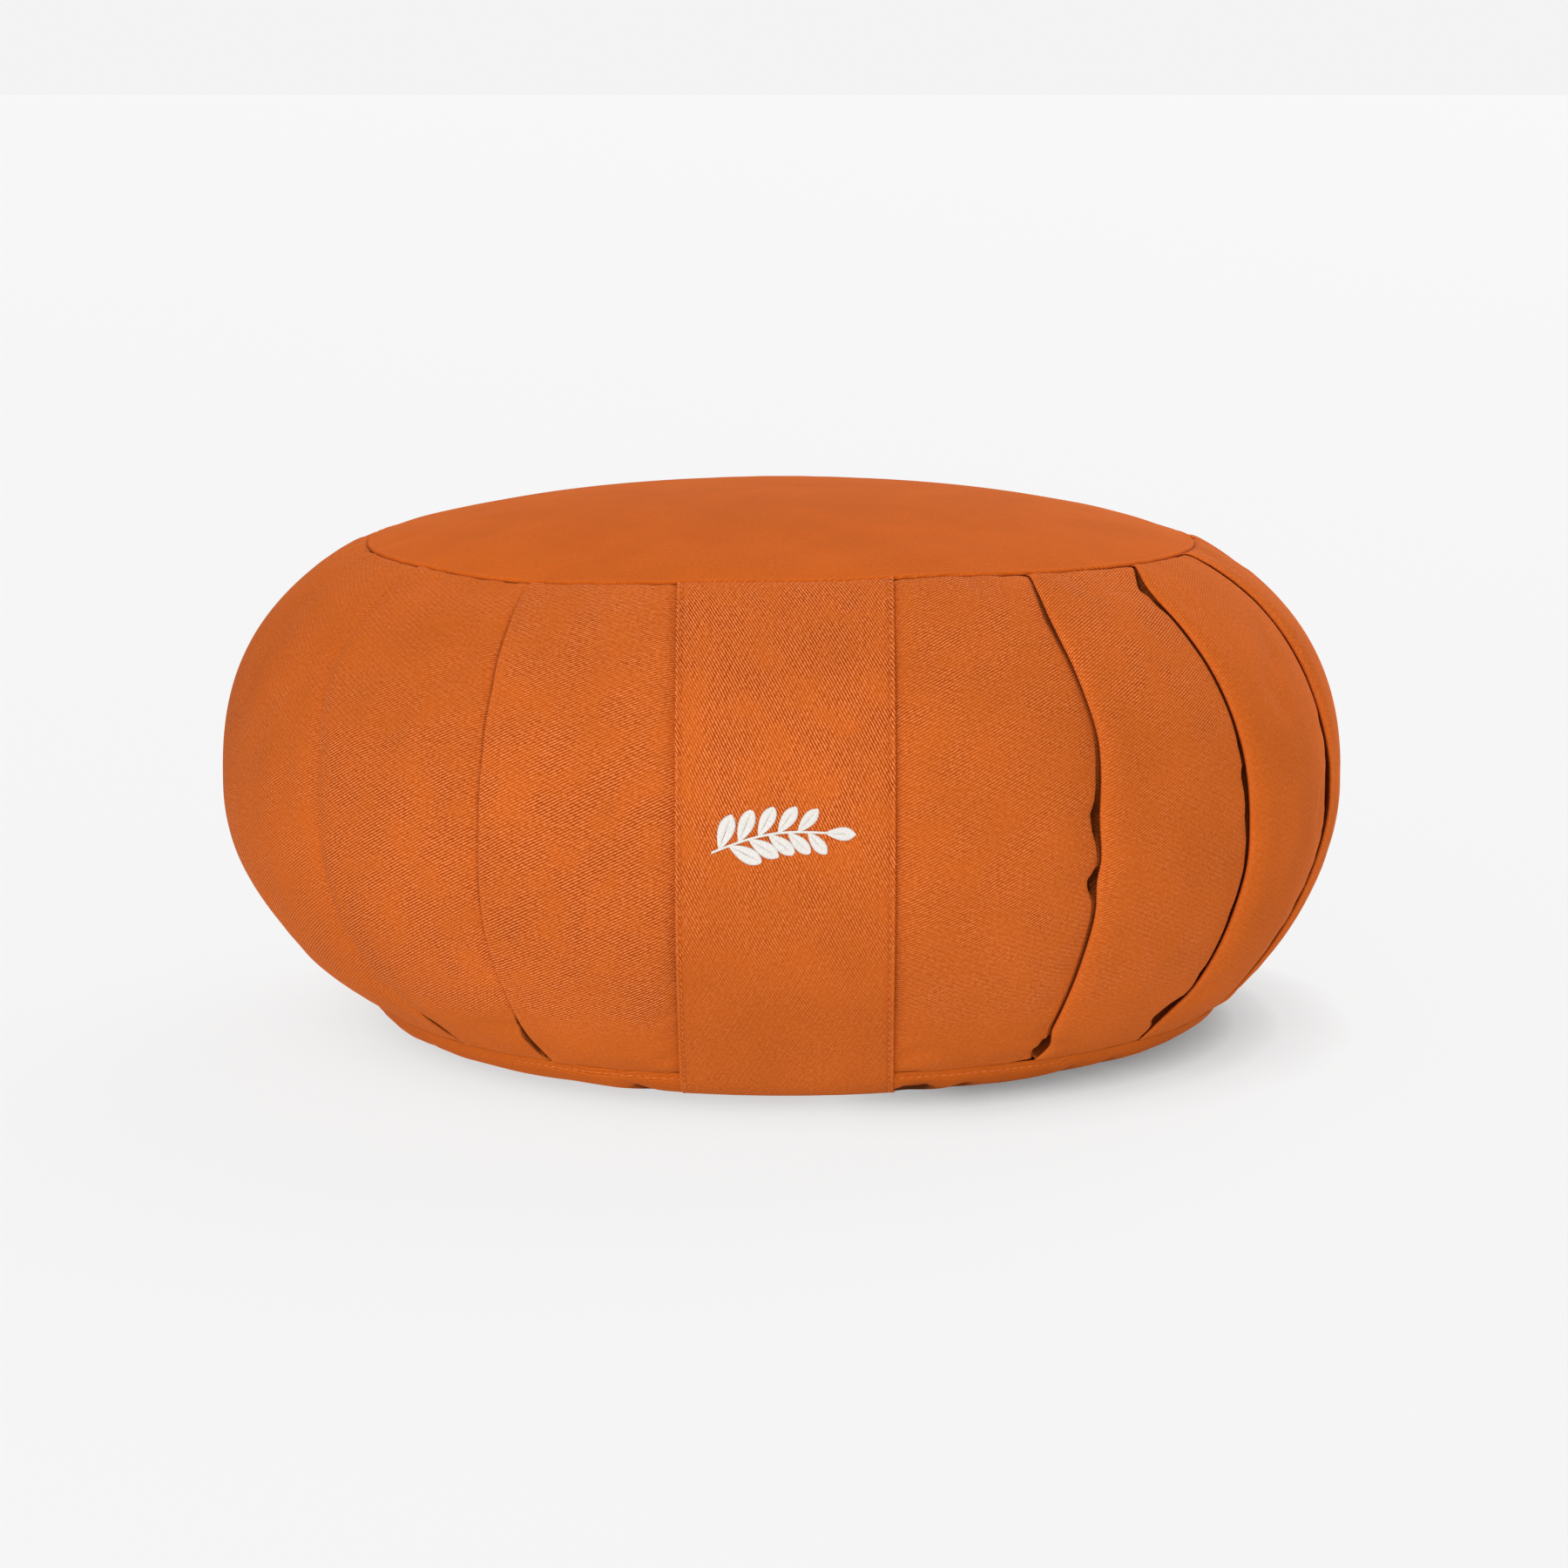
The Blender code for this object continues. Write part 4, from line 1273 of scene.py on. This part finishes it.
# Painted shade under the arches, on the rim's rings.
base_painted_shade = np.zeros(base_rings.shape[:2])
base_painted_shade[len(flat_radii):len(outer_base)] = [rim_painted_shade(disc_angle, run) for run in rim_runs]
bottom_disc = closed_skin(
    "bottom_disc", base_rings, base_rings[..., :2] * np.array([1.0, -1.0]),
    ((LEAN, 0, 0.0), (LEAN, 0, CLOTH)), disc_twill, base_painted_shade,
)

# %% [markdown]
# ## The front panel
#
# This is a straight strip with its long edges turned under and sewn down 1.35 mm in. Turned
# cloth is twice as thick, so each edge stands up as a narrow ridge, and the stitch line beside
# it sinks. At the top it ends under the disc's edge. At the bottom it runs on over the rim and
# under the cushion. Its cloth lies the other way round from the side's, so its twill is steep.

# %% The front panel
PANEL_UNDER = -1.2 * MM
PANEL_FACE = 0.55 * MM
PANEL_ON_RIM = 0.25  # share of its thickness that still shows over the rim
PANEL_FOOT = -13.0 * MM  # how far it runs below the seam
STITCH_IN = 1.35 * MM
PANEL_SLOW, PANEL_PUCKER = 0.16 * MM, 0.06 * MM
# painted shade in the crease under the upper seam, on the front panel
STRIP_SEAM_PAINTED_SHADE = 0.35
PANEL_END = np.array([0.995, 0.97, 0.6])  # size of its closed ends against its section
# Its edge: distance in from the edge, rise over the face, in mm
PANEL_EDGE = (
    (0.25, -0.95), (0.05, -0.55), (0.0, -0.15), (0.08, 0.20), (0.28, 0.38), (0.55, 0.42), (0.80, 0.32),
    (1.05, 0.06), (1.25, -0.14), (1.45, -0.18), (1.75, -0.08), (2.4, 0.08), (3.6, 0.07), (5.5, 0.0),
)
STRIP_NAP = (1.15, 0.35)  # the ridges' standing, above and below
STRIP_NAP_RISE = (0.028, 0.080)  # run at which it starts to change, and over how far
# Painted light and shade across each edge, in the order of the edge: dark under the turn, pale on the ridge,
# dark along the stitch line
PANEL_PAINTED_LIGHT = (-0.45, -0.35, -0.2, 0.0, 0.08, 0.10, 0.06, 0.0, -0.12, -0.14, -0.06, 0.0, 0.0, 0.0)


def panel_place(across, run, rise):
    """Points on the front: metres across from the panel's middle, run up the side, and rise."""
    r, z, out_r, out_z = on_curve(run)
    angle = np.arcsin((PANEL_X + across) / r)
    total = rise + lie(angle, run) + set_back(run)
    z = z + total * out_z + lift(angle, run)
    return place(angle, r + total * out_r, np.maximum(z, 0.05 * MM))


def panel_waves(across, run):
    """Slow unevenness of the panel's own face, and faint puckers beside its stitching."""
    slow = PANEL_SLOW * waves(across / 0.16, run, (1, 3), 0.07, 51)
    to_edge = PANEL_WIDE / 2 - np.abs(across)
    side = np.where(across > 0, 1.0, 4.0)
    near_edge = fade(to_edge - 3 * MM, 2.5 * MM)
    pucker = PANEL_PUCKER * waves(side, run, (1, 1), 0.0055, 52) * near_edge
    return slow + pucker


def on_rim(run):
    """The share of its thickness that the panel shows: all of it on the side, less over the rim."""
    return 1.0 - (1.0 - PANEL_ON_RIM) * smooth_step(-run / (4.0 * MM))


def make_front_panel():
    """The strip as one closed skin: around its section, row after row."""
    steps, levels = np.array(PANEL_EDGE).T * MM
    half = PANEL_WIDE / 2
    inner = np.linspace(-half + steps[-1], half - steps[-1], 26)[1:-1]
    across = np.concatenate([-half + steps, inner, half - steps[::-1]])
    level = np.concatenate([levels, 0.0 * inner, levels[::-1]]) + PANEL_FACE
    rows = np.concatenate([np.arange(PANEL_FOOT, -0.4 * MM, 1.0 * MM), row_run])
    run = rows[:, None]
    face_rise = (level + panel_waves(across, run)) * on_rim(run) + roll_top(run)
    face = panel_place(across, run, face_rise)
    below = np.linspace(half - 0.5 * MM, -half + 0.5 * MM, 8)
    under_rise = PANEL_UNDER + 1.1 * MM * smooth_step(-run / (2.0 * MM)) + roll_top(run)
    under = panel_place(below, run, under_rise)
    rings = np.concatenate([face, under], axis=1)
    ends = np.zeros((2,) + rings.shape[1:])
    for number, row in ((0, 0), (1, -1)):
        ends[number] = rings[row].mean(0) + (rings[row] - rings[row].mean(0)) * PANEL_END
    rings = np.concatenate([ends[:1], rings, ends[1:]])
    rows = np.concatenate([rows[:1], rows, rows[-1:]])
    flat = np.concatenate([across, below])
    spots = np.stack([rows[:, None] + 0.0 * flat, -flat[None, :] + 0.0 * rows[:, None]], -1)
    poles = (rings[0].mean(0), rings[-1].mean(0))
    # Painted light and shade across the panel's edges.
    painted_light_and_tone = np.concatenate([PANEL_PAINTED_LIGHT, 0.0 * inner, PANEL_PAINTED_LIGHT[::-1], 0.0 * below])
    # Painted shade under the upper seam.
    panel_painted_light_and_tone = painted_light_and_tone - STRIP_SEAM_PAINTED_SHADE * fade(SIDE_LENGTH - rows[:, None], SEAM_PAINTED_SHADE_REACH, 1)
    # Painted light and shade, with some tone, in broad patches.
    panel_painted_light_and_tone = panel_painted_light_and_tone + light_and_tone_patches(0.0, on_curve(rows)[1])[:, None]
    pole_spots = ((0, 0), (SIDE_LENGTH, 0))
    upper, lower = STRIP_NAP
    nap = lower + (upper - lower) * smooth_step((rows[:, None] - STRIP_NAP_RISE[0]) / STRIP_NAP_RISE[1])
    return closed_skin("front_strip", rings, spots, poles, side_twill, panel_painted_light_and_tone, nap, pole_spots)


front_strip = make_front_panel()

# %% [markdown]
# ## Stitches
#
# Machine stitches are the clearest case for Geometry Nodes: one small bead of thread repeated
# at an even pitch along a line. The tree takes a line of points that carries the way out of the
# cloth, sets points along it, turns one bead to lie along the line with its back to the cloth,
# and makes real mesh of the lot. The pitch, the bead's size and its slant are its inputs.

# %% The stitch tree
def set_input(modifier, label, value):
    """Sets a node modifier's input by its identifier."""
    for item in modifier.node_group.interface.items_tree:
        if item.item_type == "SOCKET" and item.in_out == "INPUT" and item.name == label:
            modifier[item.identifier] = value
            return
    raise KeyError(label)


def new_tree(name, sizes):
    """A Geometry Nodes tree with geometry in and out, and its sizes as named inputs."""
    tree = bpy.data.node_groups.new(name, "GeometryNodeTree")
    tree.interface.new_socket("Geometry", in_out="INPUT", socket_type="NodeSocketGeometry")
    for label, value in sizes:
        socket = tree.interface.new_socket(label, in_out="INPUT", socket_type="NodeSocketFloat")
        socket.default_value = value
    tree.interface.new_socket("Geometry", in_out="OUTPUT", socket_type="NodeSocketGeometry")
    return tree


def vectors_of(tree, name):
    """The vectors that the points carry under a name."""
    kind = "GeometryNodeInputNamedAttribute"
    return add(tree, kind, {"Name": name}, data_type="FLOAT_VECTOR").outputs[0]


def lying(tree, way):
    """The turn that lays a bead along a way, with its back to the cloth."""
    kind = "FunctionNodeAlignRotationToVector"
    along = add(tree, kind, {"Vector": way}, axis="X").outputs[0]
    back = {"Rotation": along, "Vector": vectors_of(tree, "way_out")}
    return add(tree, kind, back, axis="Z", pivot_axis="X").outputs[0]


def end_with_beads(tree, points, turn, size, rings, thread):
    """Puts a bead on each point, makes real mesh of them, and dresses it in thread."""
    bead = add(tree, "GeometryNodeMeshUVSphere", {"Segments": 8, "Rings": rings, "Radius": 0.5})
    given = {"Points": points, "Instance": bead.outputs[0], "Rotation": turn, "Scale": size}
    beads = add(tree, "GeometryNodeInstanceOnPoints", given)
    real = add(tree, "GeometryNodeRealizeInstances", {0: beads.outputs[0]})
    smooth = add(tree, "GeometryNodeSetShadeSmooth", {0: real.outputs[0]})
    dressed = add(tree, "GeometryNodeSetMaterial", {"Geometry": smooth.outputs[0], "Material": thread})
    add(tree, "NodeGroupOutput", {0: dressed.outputs[0]})


def stitch_tree(thread):
    """Beads of thread along a line that carries 'way_out' at its points."""
    sizes = (("Pitch", 0.0025), ("Length", 0.0020), ("Thickness", 0.0004), ("Slant", 0.1))
    tree = new_tree("stitches", sizes)
    given = add(tree, "NodeGroupInput").outputs
    line = add(tree, "GeometryNodeMeshToCurve", {0: given["Geometry"]})
    path = {"Curve": line.outputs[0], "Length": given["Pitch"]}
    spaced = add(tree, "GeometryNodeCurveToPoints", path, mode="LENGTH")
    change = add(tree, "FunctionNodeRandomValue", {2: -0.12, 3: 0.12, "Seed": 7}, data_type="FLOAT")
    slant = calc(tree, "ADD", given["Slant"], change.outputs[1])
    yaw = add(tree, "ShaderNodeCombineXYZ", {"Z": slant})
    yaw_turn = add(tree, "FunctionNodeEulerToRotation", {0: yaw.outputs[0]})
    both = {"Rotation": lying(tree, spaced.outputs["Tangent"]), "Rotate By": yaw_turn.outputs[0]}
    turn = add(tree, "FunctionNodeRotateRotation", both, rotation_space="LOCAL")
    thick = given["Thickness"]
    size = add(tree, "ShaderNodeCombineXYZ", {"X": given["Length"], "Y": thick, "Z": thick})
    end_with_beads(tree, spaced.outputs[0], turn.outputs[0], size.outputs[0], 6, thread)
    return tree


def sewing_thread(name, light, dark, scale, roughness):
    """Sewing or embroidery thread: its twist shows as a fine light and dark grain."""
    made, tree, shader = new_material(name)
    spot = add(tree, "ShaderNodeTexCoord").outputs["Object"]
    grain = noise(tree, spot, scale, 2.0)
    tones = {0: ranged(tree, grain, 0.3, 0.7), 6: linear(dark), 7: linear(light)}
    colour = add(tree, "ShaderNodeMix", tones, data_type="RGBA")
    raised = add(tree, "ShaderNodeBump", {"Height": grain, "Strength": 0.4, "Distance": 0.0001})
    fill(tree, shader, {"Base Color": colour.outputs[2], "Normal": raised.outputs[0]})
    fill(tree, shader, {"Roughness": roughness, "Specular IOR Level": 0.15})
    return made


# Spun polyester sewing thread: two fine plies twisted together, dyed to match, faintly shiny.
orange_thread = sewing_thread("orange_polyester_thread", "EA8644", "C8641F", 1500.0, 0.75)
stitches_tree = stitch_tree(orange_thread)
print("tree:", stitches_tree.name, "with", len(stitches_tree.nodes), "nodes")

# %% [markdown]
# A line of points becomes stitches in three moves: make the line, put the tree on it, and swap
# the result in as a plain mesh, so no live modifier stays. The export drops live modifiers of
# this kind, so none stays.

# %% Stitch lines on the front panel and round the bottom
def thread_points(name, points, carried, joined):
    """Points that carry numbers or vectors under names, joined into a string if so asked."""
    mesh = bpy.data.meshes.new(name)
    links = [(i, i + 1) for i in range(len(points) - 1)] if joined else []
    mesh.from_pydata(points.tolist(), links, [])
    for label, values in carried.items():
        kind, field = ("FLOAT_VECTOR", "vector") if values.ndim == 2 else ("FLOAT", "value")
        made = mesh.attributes.new(label, kind, "POINT")
        made.data.foreach_set(field, values.astype(np.float32).ravel())
    return put_in_scene(name, mesh)


def made_real(piece, tree, sizes):
    """Runs a tree on an object and keeps the result as its plain mesh."""
    modifier = piece.modifiers.new(tree.name, "NODES")
    modifier.node_group = tree
    for label, value in sizes.items():
        set_input(modifier, label, value)
    result = piece.evaluated_get(bpy.context.evaluated_depsgraph_get())
    mesh = bpy.data.meshes.new_from_object(result)
    mesh.name = piece.name
    piece.modifiers.clear()
    piece.data = mesh
    print(piece.name, "has", len(mesh.polygons), "faces")
    return piece


def unit(vectors):
    """The same directions, each one long."""
    return vectors / np.linalg.norm(vectors, axis=1)[:, None]


def panel_stitches(name, side):
    """The stitch line along one long edge of the front panel."""
    run = np.linspace(PANEL_FOOT + 2.0 * MM, SIDE_LENGTH - 1.0 * MM, 260)
    across = side * (PANEL_WIDE / 2 - STITCH_IN)
    level = (PANEL_FACE - 0.10 * MM + panel_waves(across, run)) * on_rim(run) + roll_top(run)
    points = panel_place(across, run, level)
    out = unit(points - panel_place(across, run, level - 1.0 * MM))
    line = thread_points(name, points, {"way_out": out}, True)
    return made_real(line, stitches_tree, {"Slant": 0.16})


def base_stitches():
    """The stitch line round the bottom disc, just below the seam."""
    ring = rim_ring(-STITCH_BELOW_SEAM)
    _, _, out_r, out_z = on_curve(-STITCH_BELOW_SEAM)
    ways = polar(disc_angle, out_r, out_z)
    closing = np.concatenate([ring, ring[:1]])
    ways = np.concatenate([ways, ways[:1]])
    closing = closing - ways * (0.35 * MM * np.append(snug(disc_angle), 0.0))[:, None]
    line = thread_points("base_stitches", closing, {"way_out": ways}, True)
    return made_real(line, stitches_tree, {"Slant": 0.05})


left_stitches = panel_stitches("left_panel_stitches", -1)
right_stitches = panel_stitches("right_panel_stitches", 1)
rim_stitches = base_stitches()

# %% [markdown]
# ## The embroidered sprig
#
# The front panel carries a small white satin-stitch motif. This one is a plain leafy sprig of
# the kind found in any pattern book. In satin stitch each leaf is covered with threads laid side
# by side from its midrib to its edge, so the light catches the two halves differently. Each
# thread is again one bead, stretched to its own length, and the tree reads that length and the
# thread's direction from the point that it stands on.

# %% The satin-stitch tree
def satin_tree(thread):
    """A long bead on each point, along 'way', as long as 'reach', with its back to 'way_out'."""
    tree = new_tree("satin_stitch", (("Thread", 0.00046), ("Plump", 0.00055)))
    given = add(tree, "NodeGroupInput").outputs
    reach = add(tree, "GeometryNodeInputNamedAttribute", {"Name": "reach"}, data_type="FLOAT")
    sides = {"X": reach.outputs[0], "Y": given["Thread"], "Z": given["Plump"]}
    size = add(tree, "ShaderNodeCombineXYZ", sides)
    turn = lying(tree, vectors_of(tree, "way"))
    end_with_beads(tree, given["Geometry"], turn, size.outputs[0], 7, thread)
    return tree


# %% [markdown]
# The sprig is drawn flat, in millimetres from its middle, and then laid on the panel: a gently
# bent stem, leaves to both sides by turns, and one leaf at the tip.

# %% Laying out the sprig
MOTIF_HEIGHT = 0.0846  # height of its middle on the cushion
MOTIF_ACROSS = -0.3 * MM
THREAD_PITCH = 0.40
STEM_THREAD = 1.15
STEM_FOOT, STEM_SPAN, STEM_BOW = (-19.5, -4.2), (31.0, 5.4), 2.4
STEM_LENGTH, STEM_PITCH = 33, 0.5
STEM_SLANT, LEAF_SLANT, LEAF_OUT = 38.0, 52.0, 48.0  # degrees
LEAF, TIP_LEAF = (10.6, 4.9), (8.4, 4.0)  # length, width
LEAF_STAGGER = 0.086  # the leaves on the other side stand this share of the stem further on
FIRST_LEAF, LEAF_STEP = 0.05, 0.172  # shares of the stem
LEAVES = tuple((FIRST_LEAF + LEAF_STEP * k, side) for k in range(5) for side in (1, -1))
motif_run = float(np.interp(MOTIF_HEIGHT, curve_z[len(curve_z) // 5:], curve_run[len(curve_z) // 5:]))
strands = []  # middle x and y, direction x and y, length, height over the panel


def stem_at(t):
    """A point of the stem, from its foot at 0 to its tip at 1, and its direction."""
    (x, y), (wide, high) = STEM_FOOT, STEM_SPAN
    point = np.array([x + wide * t, y + high * t + STEM_BOW * math.sin(math.pi * t)])
    way = np.array([wide, high + STEM_BOW * math.pi * math.cos(math.pi * t)])
    return point, way / np.linalg.norm(way)


def turned(way, degrees):
    """A direction turned by an angle."""
    c, s = math.cos(math.radians(degrees)), math.sin(math.radians(degrees))
    return np.array([way[0] * c - way[1] * s, way[0] * s + way[1] * c])


def satin_leaf(foot, way, length, wide):
    """Threads from the midrib to both edges of a leaf."""
    for side in (1, -1):
        slanted = turned(way, side * LEAF_SLANT)
        for k in range(int(length / THREAD_PITCH)):
            t = (k + 0.5) * THREAD_PITCH / length
            half = wide / 2 * math.sin(math.pi * t**0.85) ** 0.80
            reach = max(0.5, half / math.sin(math.radians(LEAF_SLANT)))
            start = foot + way * (length * t * 0.97) - slanted * 0.10
            middle = start + slanted * reach / 2
            strands.append((*middle, *slanted, reach + 0.25, 0.16))


def sprig():
    """The whole sprig: stem, side leaves and tip leaf."""
    for k in range(int(STEM_LENGTH / STEM_PITCH)):
        point, way = stem_at(k * STEM_PITCH / STEM_LENGTH)
        strands.append((*point, *turned(way, STEM_SLANT), STEM_THREAD, 0.24))
    for t, side in LEAVES:
        t = t + (LEAF_STAGGER if side < 0 else 0.0)
        foot, way = stem_at(min(t, 0.97))
        size = 1.0 - 0.28 * t
        satin_leaf(foot + way * 0.3, turned(way, side * LEAF_OUT), LEAF[0] * size, LEAF[1] * size)
    tip, way = stem_at(1.0)
    satin_leaf(tip - way * 0.4, way, *TIP_LEAF)


sprig()
print(len(strands), "threads in the sprig")

# %% Sewing the sprig on
# Rayon embroidery thread: smooth bright filaments, laid close, so it is glossier than the twill.
white_thread = sewing_thread("white_rayon_thread", "F2EEE9", "DDD9D2", 2500.0, 0.42)


def on_panel(x, y, height):
    """A point of the flat drawing laid on the panel, all in millimetres."""
    across = MOTIF_ACROSS + np.asarray(x) * MM
    run = motif_run + np.asarray(y) * MM
    return panel_place(across, run, PANEL_FACE + panel_waves(across, run) + np.asarray(height) * MM)


def sew_sprig():
    """Points with direction, way out and length for each thread, run through the satin tree."""
    x, y, way_x, way_y, reach, height = np.array(strands).T
    points = on_panel(x, y, height)
    ways = on_panel(x + 0.2 * way_x, y + 0.2 * way_y, height) - points
    out = points - on_panel(x, y, height - 0.5)
    carried = {"way": unit(ways), "way_out": unit(out), "reach": reach * MM}
    piece = thread_points("white_sprig", points, carried, False)
    return made_real(piece, satin_tree(white_thread), {})


white_sprig = sew_sprig()

# %% [markdown]
# ## Handing the pieces to the frame
#
# Each cloth piece now takes the place of its solid. The filled side is a padded piece. The
# discs and the front panel are sheets, cut larger than they show by their seam allowances,
# which is the size they are declared with. Stitches and embroidery go with the cloth they hold.

everything = [
    pleated_cover, top_disc, bottom_disc, front_strip,
    left_stitches, right_stitches, rim_stitches, white_sprig,
]
for piece in everything:
    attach(piece, BODY)

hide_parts("pleated_side")
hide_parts("top_panel")
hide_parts("bottom_panel")
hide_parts("front_panel")
